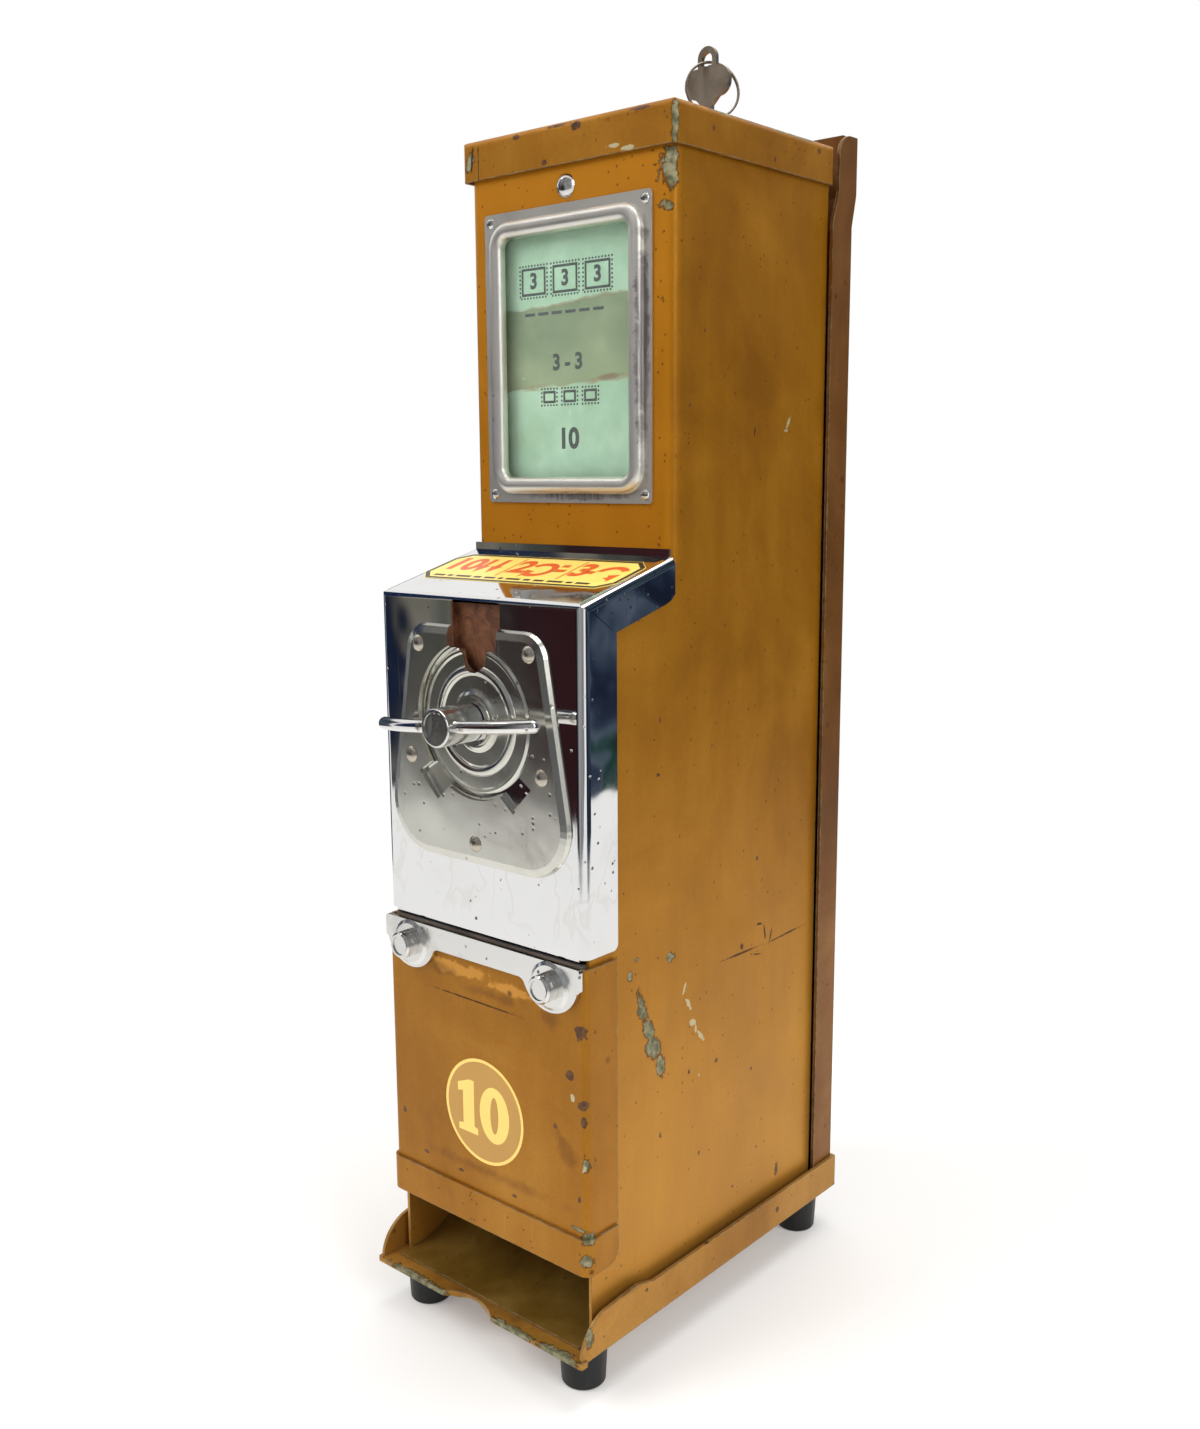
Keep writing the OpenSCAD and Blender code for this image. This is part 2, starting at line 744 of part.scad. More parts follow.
module channel_screws() color(zinc) placed() {
    head_h = joggle - 0.4;
    spacer_places() {
        difference() {
            rod_y(0, channel_back_y + touch_gap, channel_back_y + head_h, 0, 4.6);
            block(-0.6, 0.6, channel_back_y + head_h - 1, channel_back_y + head_h + cut, -5, 5);
        }
        rod_y(0, body_back_y - body_t - 3.4, channel_back_y + 0.5, 0, 2.5);
        translate([0, body_back_y - body_t - touch_gap, 0]) rotate([90, 0, 0])
            cylinder(h = 2.6, r = 4.6, $fn = 6);
    }
}

// ---- window

module roll_profile(inner) {
    // half ellipse of the raised roll, measured outwards from the opening
    translate([inner + frame_roll_w / 2, 0]) intersection() {
        scale([frame_roll_w / 2, frame_roll_h, 1]) circle(1);
        translate([-frame_roll_w, 0]) square([2 * frame_roll_w, 2 * frame_roll_h]);
    }
}

module roll_corner() {
    rotate_extrude(angle = 90) intersection() {
        translate([frame_inner_r + frame_roll_w / 2, 0]) circle(frame_roll_w / 2);
        translate([0, 0]) square([2 * frame_inner_r + 2 * frame_roll_w, frame_roll_w]);
    }
}

module roll_run(len) {
    rotate([90, 0, 0]) linear_extrude(len) intersection() {
        translate([frame_inner_r + frame_roll_w / 2, 0]) circle(frame_roll_w / 2);
        translate([0, 0]) square([2 * frame_inner_r + 2 * frame_roll_w, frame_roll_w]);
    }
}

module window_frame() color(nickel) placed() {
    open_x = frame_x - frame_edge;
    open_h = frame_h - 2 * frame_edge;
    mid_z = frame_z + frame_h / 2;
    run_x = open_x - frame_inner_r;
    run_z = open_h / 2 - frame_inner_r;
    difference() {
        union() {
            front_prism(upper_front_y - frame_t, upper_front_y - touch_gap) difference() {
                rounded_rect(-frame_x, frame_x, frame_z, frame_top_z, 1.5);
                rounded_rect(-open_x, open_x, frame_z + frame_edge, frame_top_z - frame_edge,
                    frame_inner_r);
            }
            translate([0, upper_front_y - frame_t + touch_gap, mid_z]) rotate([90, 0, 0]) {
                for (turn = [0, 180]) rotate(turn) {
                    translate([run_x, run_z, 0]) roll_corner();
                    translate([run_x, run_z, 0]) roll_run(2 * run_z);
                    translate([-run_x, run_z, 0]) rotate(90) roll_corner();
                    translate([-run_x, run_z, 0]) rotate(90) roll_run(2 * run_x);
                }
            }
        }
        frame_screw_places() rod_y(0, upper_front_y - 5, upper_front_y + cut, 0,
            frame_screw_d / 4 + press_gap);
    }
}

module frame_screws() color(nickel) placed() {
    head_y = upper_front_y - frame_t - touch_gap;
    frame_screw_places() {
        dome_head(head_y, frame_screw_d, 0.9, 0.5);
        rod_y(0, head_y - 0.1, card_y + card_t + retainer_plate_t + 1.3, 0, frame_screw_d / 4);
        rod_y(0, card_y + card_t + retainer_plate_t + 2 * touch_gap,
            card_y + card_t + retainer_plate_t + 1.2, 0, 2.4);
    }
}

// A dome head whose flat side stands at y, with an optional driver slot
module dome_head(y, d, h, slot) {
    ball_r = (d * d / 4 + h * h) / (2 * h);
    difference() {
        translate([0, y + ball_r - h, 0]) rotate([90, 0, 0]) sphere(r = ball_r);
        block(-ball_r - cut, ball_r + cut, y, y + 2 * ball_r + cut, -ball_r - cut, ball_r + cut);
        if (slot > 0)
            block(-d, d, y - h - cut, y - h + slot, -slot / 2, slot / 2);
    }
}

module window_glass() color([0.8, 0.88, 0.86, 0.4]) placed() {
    block(-glass_x, glass_x, panel_back_y + touch_gap, panel_back_y + touch_gap + glass_t,
        glass_low_z, glass_top_z);
}

module window_card() color(mint) placed() {
    block(-glass_x, glass_x, card_y, card_y + card_t, glass_low_z, glass_top_z);
}

module card_retainer() color(zinc) placed() {
    plate_y0 = card_y + card_t + touch_gap;
    rim = 3.2;
    difference() {
        union() {
            front_prism(plate_y0, plate_y0 + retainer_plate_t) rounded_rect(-frame_x, frame_x,
                frame_z, frame_top_z, 2);
            both_sides() block(frame_x - 0.8, frame_x, panel_back_y + touch_gap,
                plate_y0 + cut / 2, frame_z + 8, frame_top_z - 8);
        }
        front_prism(plate_y0 - cut, plate_y0 + retainer_plate_t + cut)
            rounded_rect(-frame_x + frame_edge + rim, frame_x - frame_edge - rim,
                frame_z + frame_edge + rim, frame_top_z - frame_edge - rim, 4);
        frame_screw_places() rod_y(0, panel_back_y, plate_y0 + 3, 0,
            frame_screw_d / 4 + press_gap);
    }
}

module dome_screw() color(nickel) placed() {
    translate([0, 0, dome_screw_z]) {
        dome_head(upper_front_y - touch_gap, dome_screw_d, 2.2, 0);
        rod_y(0, upper_front_y - 0.5, panel_back_y + 4, 0, dome_screw_d / 4);
        translate([0, panel_back_y + 3.5, 0]) rotate([90, 0, 0]) cylinder(h = 2.2, r = 3.8, $fn = 6);
    }
}

// Bent strip behind the front panel that steers the lid's front onto the body
module lid_guide() color(zinc) placed() {
    y0 = panel_back_y + touch_gap;
    difference() {
        side_prism(-11, 11) polygon([[y0, dome_screw_z - 5], [y0 + 1.2, dome_screw_z - 5],
            [y0 + 1.2, body_top_z - 7], [y0 + 4.5, body_top_z - 1.5],
            [y0 + 3.1, body_top_z - 1.5], [y0, body_top_z - 6.6]]);
        rod_y(0, y0 - cut, y0 + 3, dome_screw_z, dome_screw_d / 4 + press_gap);
    }
}

// Angle on the right wall that the cam turns under
module lock_striker() color(zinc) placed() {
    striker_z = cam_top_z + 0.6;
    striker_in_x = lock_x + lock_d / 2 + 0.7;
    block(wall_x - 1.3, wall_x - touch_gap, lock_y - 9, lock_y + 9, striker_z - 16, striker_z + 1.2);
    block(striker_in_x, wall_x - 1, lock_y - 9, lock_y + 9, striker_z, striker_z + 1.2);
}

// ---- mechanism cover

function arc_tangent_z() = bend_z - bend_tangent;

// Side view of the cover's outer skin, with its bend, drawn in by inset
module cover_outline(inset) {
    drop = inset / cos(slope_deg);
    far = upper_front_y + (inset > 0 ? 10 : 0);
    low = cover_z - (inset > 0 ? 10 : 0);
    centre = [bend_r, bend_z - bend_tangent];
    top_tangent = [bend_r - bend_r * sin(slope_deg), centre[1] + bend_r * cos(slope_deg)];
    in_r = bend_r - inset;
    polygon([[inset, low], [inset, centre[1]], centre,
        [centre[0] - in_r * sin(slope_deg), centre[1] + in_r * cos(slope_deg)],
        [far, top_tangent[1] + (far - top_tangent[0]) * slope_rise - drop], [far, low]]);
    translate(centre) circle(in_r);
}

module cover_mass(inset) {
    half = cover_x - inset;
    corner = cover_corner_r - inset;
    back = upper_front_y + 40;
    intersection() {
        side_prism(-half, half) cover_outline(inset);
        plan_prism(cover_z - 20, bend_z + 40) rounded_rect(-half, half, inset, back, corner);
        translate([0, 0, bend_z]) rotate([slope_deg, 0, 0])
            front_prism(-60, back) rounded_rect(-half, half, -200,
                -inset, corner);
    }
}

// Side view of what the skirts keep: a band behind the front and one below the slope
module skirt_outline() {
    len = cover_back_y / cos(slope_deg);
    r = 8;
    rounded_rect(-10, skirt_depth, cover_z, bend_z, 2.2);
    translate([0, bend_z]) rotate(slope_deg) {
        translate([-8, -slope_skirt]) square([len + 8 - r, slope_skirt + 5]);
        translate([-8, -slope_skirt + r]) square([len + 20, slope_skirt - r + 5]);
        translate([len - r, -slope_skirt + r]) circle(r);
    }
}

module slot_outline() {
    shoulder_z = shaft_z + slot_shoulder;
    low_z = shaft_z + tongue_low;
    r = tongue_w / 2;
    fillet = 2.4;
    top_z = bend_z - 1.2;
    rounded_rect(-slot_w / 2, slot_w / 2, shoulder_z, top_z, 1.2);
    translate([0, low_z + r]) circle(r);
    translate([-r, low_z + r]) square([tongue_w, shoulder_z - low_z - r + 1]);
    for (side = [-1, 1]) difference() {
        translate([side > 0 ? r - 0.01 : -r - fillet, shoulder_z - fillet])
            square([fillet + 0.01, fillet + 1]);
        translate([side * (r + fillet), shoulder_z - fillet]) circle(fillet);
    }
}

module mechanism_cover() color(chrome) placed() {
    strip_z = slope_z(cover_back_y);
    difference() {
        union() {
            intersection() {
                difference() {
                    cover_mass(0);
                    cover_mass(cover_t);
                }
                side_prism(-cover_x - cut, cover_x + cut) skirt_outline();
                block(-cover_x, cover_x, -cut, cover_back_y, cover_z - cut, bend_z + 40);
            }
            block(-cover_x + 2, cover_x - 2, cover_back_y - cover_t, cover_back_y,
                strip_z - cover_t, strip_z + slope_strip_h);
            block(-wall_x + 1, wall_x - 1, cover_t / 2, cover_lip_d, cover_z - cover_t, cover_z);
            block(-wall_x + 1, wall_x - 1, cover_t / 2, cover_t, cover_z - cover_t, cover_z + 1);
        }
        front_prism(-cut, cover_t + cut) slot_outline();
        shield_rivet_places() rod_y(0, -cut, cover_t + cut, 0, 1.6);
        rod_y(0, -cut, cover_t + cut, shaft_z, sleeve_r + press_gap);
    }
}

// ---- shield and dial

module shield_corners(inset, y, thick) {
    for (side = [-1, 1]) {
        translate([side * (shield_top_x - shield_top_r), y, shaft_z + shield_up - shield_top_r])
            rotate([90, 0, 0]) cylinder(h = thick, r = shield_top_r - inset, $fn = 40);
        translate([side * (shield_low_x - shield_low_r), y,
            shaft_z - shield_down + shield_low_r])
            rotate([90, 0, 0]) cylinder(h = thick, r = shield_low_r - inset, $fn = 48);
    }
}

function polar(r, deg) = [r * sin(deg), -r * cos(deg)];

// The recess: a circle with two ears at its foot, drawn out by grow
module recess_outline(grow) {
    base_r = recess_r - 1;
    translate([0, shaft_z]) {
        circle(recess_r + grow);
        for (side = [-1, 1]) scale([side, 1]) polygon([[0, 0], polar(base_r, 26.5 - 2 * grow),
            polar(ear_r + 1.3 * grow, 31.8), polar(ear_r - 0.5 + 1.3 * grow, 52.3 + grow),
            polar(base_r, 50.5 + 2 * grow)]);
    }
}

module shield_rivet_places() {
    for (p = [[-24.9, 23.3], [24.9, 23.3], [-29.6, -14.4], [29.6, -14.4], [0, -40.2]])
        translate([p[0], 0, shaft_z + p[1]]) children();
}

module shield_plate() color(chrome) placed() {
    edge = 0.7;
    crown = 3;
    rise = shield_h * 0.65;
    difference() {
        union() {
            hull() {
                shield_corners(0, -touch_gap, 0.1);
                shield_corners(edge, -rise, 0.05);
            }
            hull() {
                shield_corners(edge, -rise, 0.05);
                shield_corners(crown, -shield_h + 0.05, 0.05);
            }
        }
        front_prism(-shield_h - cut, cut) recess_outline(0);
        front_prism(-shield_h - cut, -0.6 * shield_h) recess_outline(0.9);
        front_prism(-shield_h - cut, cut) slot_outline();
        shield_rivet_places() rod_y(0, -shield_h - cut, cut, 0, 1.6);
    }
}

module shield_rivets() color(chrome) placed() {
    shield_rivet_places() {
        dome_head(-shield_h - touch_gap, rivet_d, 1.3, 0);
        rod_y(0, -shield_h - 0.2, cover_t + 0.4, 0, 1.55);
    }
}

// Pressed ring that lies in the recess: outer land, bright bead, inner dish
module dial_ring() color(chrome) placed() {
    outer_r = recess_r - 0.9;
    bead_r = 16.3;
    hub_r = 9.6;
    difference() {
        translate([0, -touch_gap, shaft_z]) rotate([90, 0, 0]) rotate_extrude() {
            translate([sleeve_r + 0.3, 0]) square([outer_r - sleeve_r - 0.3, 0.6]);
            intersection() {
                translate([bead_r, -0.6]) circle(2.2);
                translate([bead_r - 3, 0]) square([6, 3]);
            }
            polygon([[outer_r - 2.2, 0], [outer_r, 0], [outer_r, 0.6], [outer_r - 0.9, 1.1],
                [outer_r - 1.6, 1.1], [outer_r - 2.2, 0.6]]);
            polygon([[sleeve_r + 0.3, 0], [hub_r + 2.2, 0], [hub_r, 0.9], [hub_r - 1, 1.5],
                [sleeve_r + 0.3, 1.5]]);
        }
        front_prism(-4, cut) slot_outline();
    }
}

module front_bush() color(nickel) placed() {
    flange_back = 1.5 + 2 * touch_gap;
    difference() {
        union() {
            rod_y(0, -collar_y, -flange_back, shaft_z, collar_r);
            rod_y(0, -collar_y, cover_t, shaft_z, sleeve_r);
        }
        rod_y(0, -collar_y - cut, cover_t + cut, shaft_z, bush_bore_r);
    }
}

// ---- coin path

module coin_track() color(rust_brown) placed() {
    low_z = shaft_z - track_low;
    high_z = shaft_z + track_top;
    difference() {
        union() {
            block(-track_x, track_x, track_y, track_y + track_t, low_z, high_z);
            front_prism(cover_t + touch_gap, track_y + touch_gap) difference() {
                translate([-track_x, shaft_z]) square([2 * track_x, track_top]);
                translate([0, shaft_z]) circle(wheel_d / 2 + 0.4);
                translate([-coin_d / 2 - 0.35, shaft_z]) square([coin_d + 0.7, track_top + cut]);
                translate([-slot_w / 2 - 0.3, shaft_z + slot_shoulder - 0.5])
                    square([slot_w + 0.6, track_top]);
                translate([0, shaft_z - cut]) square([track_x + cut, 8]);
            }
        }
        rod_y(0, track_y - cut, track_y + track_t + cut, shaft_z, shaft_d / 2 + 0.6);
        shield_rivet_places() rod_y(0, 0, cover_t + 0.7, 0, 2.2);
    }
}

module coin_wheel() color(brass) placed() {
    difference() {
        rod_y(0, wheel_y, wheel_y + wheel_t, shaft_z, wheel_d / 2);
        rod_y(0, 0, track_y, shaft_z, shaft_d / 2 + press_gap);
        rod_y(0, 0, track_y, shaft_z + notch_mid, notch_r);
        block(-notch_r, notch_r, 0, track_y, shaft_z + notch_mid, shaft_z + wheel_d);
    }
}

// Trough that leads a coin from the wheel to the right wall and back to the box
module coin_chute() color(zinc) placed() {
    in_x = chute_in_x;
    out_x = wall_x - touch_gap;
    start_x = -4;
    slope = 0.45;
    start_z = chute_turn_z + slope * (in_x - start_x);
    back_y = track_y + track_t + touch_gap;
    wall_h = 20;
    front_prism(cover_t + seat_gap, back_y + tray_t) polygon([[start_x, start_z],
        [in_x + tray_t, chute_turn_z - slope * tray_t],
        [in_x + tray_t, chute_turn_z - tray_t - slope * tray_t], [start_x, start_z - tray_t]]);
    front_prism(back_y, back_y + tray_t) polygon([[start_x, start_z - tray_t],
        [in_x, chute_turn_z - tray_t], [in_x, chute_turn_z + wall_h],
        [start_x + 22, start_z + 7], [start_x, start_z + 7]]);
    side_prism(in_x, out_x) polygon([[cover_t + seat_gap, chute_turn_z],
        [chute_end_y, chute_end_z], [chute_end_y, chute_end_z - tray_t],
        [cover_t + seat_gap, chute_turn_z - tray_t]]);
    side_prism(in_x, in_x + tray_t) polygon([[back_y, chute_turn_z - tray_t],
        [chute_end_y, chute_end_z - tray_t], [chute_end_y, chute_end_z],
        [chute_end_y - 8, chute_end_z + wall_h], [back_y, chute_turn_z + wall_h]]);
    side_prism(out_x - tray_t, out_x) polygon([[cover_t + seat_gap, chute_turn_z - tray_t],
        [chute_end_y, chute_end_z - tray_t], [chute_end_y, chute_end_z],
        [chute_end_y - 8, chute_end_z + wall_h], [cover_t + seat_gap, chute_turn_z + wall_h]]);
}

module coin_box() color(zinc) placed() {
    top_z = box_z + box_h;
    back_y = box_front_y + box_d;
    difference() {
        plan_prism(box_z, top_z) rounded_rect(-box_x, box_x, box_front_y, back_y, 2);
        plan_prism(box_z + tray_t, top_z + cut) rounded_rect(-box_x + tray_t, box_x - tray_t,
            box_front_y + tray_t, back_y - tray_t, 1);
        rod_y(0, box_front_y - cut, box_front_y + tray_t + cut, top_z - 18, 9);
    }
}

module box_runners() color(zinc) placed() {
    both_sides() {
        block(wall_x - 10, wall_x - touch_gap, box_front_y, box_front_y + box_d,
            box_z - touch_gap - tray_t, box_z - touch_gap);
        block(wall_x - touch_gap - tray_t, wall_x - touch_gap, box_front_y,
            box_front_y + box_d, box_z - 10, box_z - touch_gap);
    }
}

// ---- drive

module post_places() {
    for (side = [-1, 1]) {
        translate([side * (plate_x - post_in), 0, shaft_z + post_up]) children();
        translate([side * tab_post_x, 0, shaft_z - tab_post_down]) children();
    }
}

module plate_posts() color(zinc) placed() {
    post_places() rod_y(0, cover_t + touch_gap, plate_y - touch_gap, 0, 2.9);
}

module mechanism_plate() color(zinc) placed() {
    difference() {
        front_prism(plate_y, plate_y + drive_t) union() {
            rounded_rect(-plate_x, plate_x, shaft_z - post_up - plate_r,
                shaft_z + post_up + plate_r + 1, plate_r);
            rounded_rect(-tab_x, tab_x, shaft_z - tab_post_down - plate_r - 0.5, shaft_z - tab_x,
                plate_r);
        }
        rod_y(0, plate_y - cut, plate_y + drive_t + cut, shaft_z, sleeve_r + press_gap);
        guide_stud_places() rod_y(0, plate_y - cut, plate_y + drive_t + cut, 0,
            pin_d / 2 + press_gap);
        post_places() rod_y(0, plate_y - cut, plate_y + drive_t + cut, 0, 1.7);
    }
}

module rear_bush() color(brass) placed() {
    difference() {
        union() {
            rod_y(0, plate_y, plate_y + drive_t + 0.5, shaft_z, sleeve_r);
            rod_y(0, plate_y + drive_t + touch_gap, plate_y + drive_t + 0.5, shaft_z, sleeve_r + 1.5);
        }
        rod_y(0, plate_y - cut, plate_y + drive_t + cut, shaft_z, bush_bore_r);
    }
}

// Closed drum of the clock spring that turns the handle back
module spring_drum() color(zinc) placed() {
    front_y = track_y + track_t + 1.2;
    difference() {
        rod_y(0, front_y, plate_y - touch_gap, shaft_z, 12.5);
        rod_y(0, front_y - cut, plate_y + cut, shaft_z, shaft_d / 2 + 0.4);
    }
}

module guide_stud_places() {
    for (x = [stud_1_x, stud_2_x]) translate([x, 0, stud_z]) children();
}

module guide_studs() color(zinc) placed() {
    guide_stud_places() {
        rod_y(0, plate_y, yoke_y + drive_t + 2, 0, pin_d / 2);
        rod_y(0, plate_y + drive_t + touch_gap, yoke_y - seat_gap, 0, pin_d / 2 + 2);
        rod_y(0, yoke_y + drive_t + seat_gap, yoke_y + drive_t + 2, 0, pin_d / 2 + 2);
    }
}

module bell_stud() color(zinc) placed() {
    out_x = bell_in_x + bell_t;
    rod_x(-wall_x + touch_gap, -out_x - seat_gap, bell_y, bell_z, 7);
    rod_x(-out_x - 1, -bell_in_x + 0.4, bell_y, bell_z, 4);
    rod_x(-bell_in_x + seat_gap, -bell_in_x + seat_gap + 1, bell_y, bell_z, 6);
}

module handle_shaft() color(zinc) placed() {
    rod_y(0, shaft_front_y, crank_y + crank_t, shaft_z, shaft_d / 2);
}

module crank_arm() color(zinc) placed() {
    translate([0, 0, shaft_z]) rotate([0, -half_turn, 0]) {
        difference() {
            front_prism(crank_y, crank_y + crank_t) union() {
                circle(7.5);
                translate([-crank_r, 0]) circle(5);
                translate([-crank_r, -5]) square([crank_r, 10]);
            }
            rod_y(0, crank_y - cut, crank_y + crank_t + cut, 0, shaft_d / 2 + press_gap);
        }
        rod_y(-crank_r, crank_y + crank_t / 2, pin_end_y, 0, pin_d / 2);
    }
}

module yoke_slide() color(zinc) placed() {
    pin_r = pin_d / 2;
    travel = 2 * lift_half;
    slot_r = pin_r + slot_play;
    low_z = yoke_slot_z - 22;
    top_z = stud_z + 9;
    left_x = guide_x + guide_t;
    difference() {
        union() {
            front_prism(yoke_y, yoke_y + drive_t) rounded_rect(-left_x, plate_x, low_z, top_z, 3);
            side_prism(-left_x, -left_x + drive_t) rounded_rect(yoke_y, yoke_pin_y + 5,
                yoke_pin_z - 6, yoke_pin_z + 6, 1);
            rod_x(-bell_in_x - bell_t - 1, -left_x + 1, yoke_pin_y, yoke_pin_z, pin_r);
        }
        front_prism(yoke_y - cut, yoke_y + drive_t + cut) translate([0, yoke_slot_z])
            slot_shape(-crank_r - 1, -crank_r * cos(half_turn) + 1, slot_r);
        for (x = [stud_1_x, stud_2_x]) front_prism(yoke_y - cut, yoke_y + drive_t + cut)
            translate([x, stud_z]) rotate(-90) slot_shape(-0.4, travel + 0.4, pin_r + 0.4);
    }
}

module bell_crank() color(zinc) placed() {
    pin_r = pin_d / 2;
    a_far = bell_a / cos(bell_half_deg);
    b_far = bell_drop / cos(bell_half_deg);
    a_slot = pin_r + bell_a_play;
    b_slot = pin_r + bell_b_play;
    rim = 3.2;
    difference() {
        side_prism(-bell_in_x - bell_t, -bell_in_x) translate([bell_y, bell_z]) difference() {
            union() {
                circle(9);
                rotate(180 + bell_half_deg) slot_shape(0, a_far + 1, a_slot + rim);
                rotate(-90 + bell_half_deg) slot_shape(0, b_far + 1, b_slot + rim);
            }
            rotate(180 + bell_half_deg) slot_shape(bell_a - 1, a_far + 1, a_slot);
            rotate(-90 + bell_half_deg) slot_shape(bell_drop - 1, b_far + 1, b_slot);
        }
        rod_x(-wall_x, -bell_in_x + cut, bell_y, bell_z, 4 + run_fit);
    }
}

module pusher() color(zinc) placed() {
    x1 = pusher_arm_x;
    difference() {
        union() {
            block(-x1 - pusher_t, x1 - 0.6, pusher_front_y, pusher_front_y + pusher_depth,
                pusher_z, pusher_z + pusher_t);
            side_prism(-x1 - pusher_t, -x1) polygon([[pusher_pin_y - 6, pusher_z],
                [pusher_front_y + pusher_depth, pusher_z],
                [pusher_front_y + pusher_depth, pusher_z + 6], [pusher_pin_y + 12, pusher_pin_z + 5],
                [pusher_pin_y - 6, pusher_pin_z + 5]]);
            rod_x(-bell_in_x - bell_t - 1, -x1 - pusher_t / 2, pusher_pin_y, pusher_pin_z, pin_d / 2);
        }
        translate([0, 0, pusher_z - cut]) rod_z(0, pusher_front_y + pusher_depth / 2, 0, 4, 4);
    }
}

// ---- stock column

module stock_shelf() color(zinc) placed() {
    low = shelf_z - shelf_t;
    back_y = body_back_y - body_t - touch_gap;
    difference() {
        union() {
            block(-wall_x + touch_gap, wall_x - touch_gap, bay_back_y + tray_t, back_y, low, shelf_z);
            both_sides() block(wall_x - touch_gap - shelf_t, wall_x - touch_gap,
                chute_end_y + 6, back_y, low - 7, shelf_z);
            block(-pusher_arm_x - pusher_t - 1.4, -pusher_arm_x - pusher_t - 0.4,
                bay_back_y + tray_t, back_y, low, shelf_z + 2);
            block(pusher_arm_x - 0.2, pusher_arm_x + 0.8, bay_back_y + tray_t, back_y,
                low, shelf_z + 2);
        }
        block(chute_in_x - 0.4, wall_x + cut, bay_back_y, chute_end_y + 3, low - 8, shelf_z + cut);
    }
}

module column_guides() color(zinc) placed() {
    flange_w = 7;
    slot_r = follower_pin_d / 2 + 0.5;
    x0 = guide_x;
    x1 = guide_x + guide_t;
    both_sides() {
        difference() {
            union() {
                block(x0, x1, column_front_y, column_back_y, guide_low_z, guide_top_z);
                block(x0 - flange_w, x1, column_front_y, column_front_y + guide_t,
                    guide_low_z, guide_top_z);
                block(x0 - flange_w, x1, column_back_y - guide_t, column_back_y,
                    guide_low_z, guide_top_z);
                for (z = [bell_z + 32, guide_top_z - 20]) {
                    block(x1 - 0.1, wall_x - touch_gap, column_mid_y - 8, column_mid_y + 8, z, z + 1.2);
                    block(wall_x - touch_gap - 1.2, wall_x - touch_gap, column_mid_y - 8,
                        column_mid_y + 8, z - 8, z + 1.2);
                }
            }
            side_prism(x0 - cut, x1 + 0.05) translate([column_mid_y, 0]) rotate(90)
                slot_shape(follower_pin_z + 0.2, follower_pin_z + follower_rise + 0.2, slot_r);
        }
    }
}

module follower_weight() color([0.3, 0.3, 0.31]) placed() {
    x1 = guide_x - 1;
    y0 = column_front_y + guide_t + 1;
    y1 = column_back_y - guide_t - 1;
    plan_prism(follower_z, follower_z + follower_h) rounded_rect(-x1, x1, y0, y1, 3);
    rod_x(-guide_x - guide_t, guide_x + guide_t, column_mid_y, follower_pin_z, follower_pin_d / 2);
    rod_z(0, column_mid_y, follower_z, follower_z + follower_h + 6, 3);
    rod_z(0, column_mid_y, follower_z + follower_h + 5, follower_z + follower_h + 10, 7);
}

// Hollow ramp to the mouth, and the wall behind the bay that the stock falls down
module delivery_chute() color(paint) placed() {
    t = tray_t;
    z0 = pan_floor_z + touch_gap;
    mid = [side_front_y + 2.3, z0 + t + ramp_r];
    top_end = mid + polar(ramp_r, ramp_deg);
    low_end = mid + polar(ramp_r + t, ramp_deg);
    top_z = shelf_z - shelf_t - touch_gap;
    back = bay_back_y + t;
    ramp_top_z = top_end[1] + (bay_back_y - top_end[0]) * tan(ramp_deg);
    back_low_z = low_end[1] + (back - low_end[0]) * tan(ramp_deg);
    foot_y = mid[0] + ramp_r * tan(ramp_deg / 2);
    wide = wall_x - touch_gap;
    block(-wide, wide, -ramp_reach, mid[0] + touch_gap, z0, z0 + t);
    difference() {
        intersection() {
            rod_x(-wide, wide, mid[0], mid[1], ramp_r + t);
            side_prism(-wide, wide) polygon([mid, mid + polar(2 * ramp_r, 0),
                mid + polar(2 * ramp_r, ramp_deg)]);
        }
        rod_x(-wide - cut, wide + cut, mid[0], mid[1], ramp_r);
    }
    side_prism(-wide, wide) polygon([top_end, [bay_back_y, ramp_top_z], [bay_back_y, top_z],
        [back, top_z], [back, back_low_z], low_end]);
    both_sides() side_prism(wide - t, wide) polygon([[foot_y, z0 + t], [bay_back_y, ramp_top_z],
        [back, ramp_top_z - 8], [foot_y + 12, z0], [foot_y, z0]]);
}

// ---- lower cover

module stud_places() {
    for (x = [-nut_x, nut_x]) translate([x, 0, nut_z]) children();
}

module lower_cover() color(paint) placed() {
    difference() {
        plan_prism(lower_z, lower_top_z) difference() {
            rounded_rect(-lower_x, lower_x, -lower_proud, lower_back + 20, 2.4);
            rounded_rect(-lower_x + lower_t, lower_x - lower_t, -lower_proud + lower_t,
                lower_back + 30, 1.3);
            translate([-lower_x - cut, lower_back]) square([2 * lower_x + 2 * cut, 30]);
        }
        stud_places() rod_y(0, -lower_proud - cut, cut, 0, stud_d / 2 + 0.2);
    }
}

module cover_band() color(paint) placed() {
    z0 = mouth_top_z;
    z1 = mouth_top_z + band_h;
    back = lower_back - 1;
    corner = 5;
    intersection() {
        union() {
            plan_prism(z0, z1) difference() {
                rounded_rect(-band_x, band_x, band_front_y, back + 20, 3.4);
                rounded_rect(-band_x + band_t - touch_gap, band_x - band_t + touch_gap,
                    band_front_y + band_t - touch_gap, back + 30, 2.4);
            }
            block(-wall_x + seat_gap, wall_x - seat_gap, band_front_y + 0.4, 4, z0, z0 + band_t);
        }
        side_prism(-band_x - cut, band_x + cut) union() {
            translate([band_front_y - cut, z0]) square([back - band_front_y + cut - corner, band_h]);
            translate([band_front_y - cut, z0 + corner])
                square([back - band_front_y + cut, band_h - corner]);
            translate([back - corner, z0 + corner]) circle(corner);
        }
    }
}

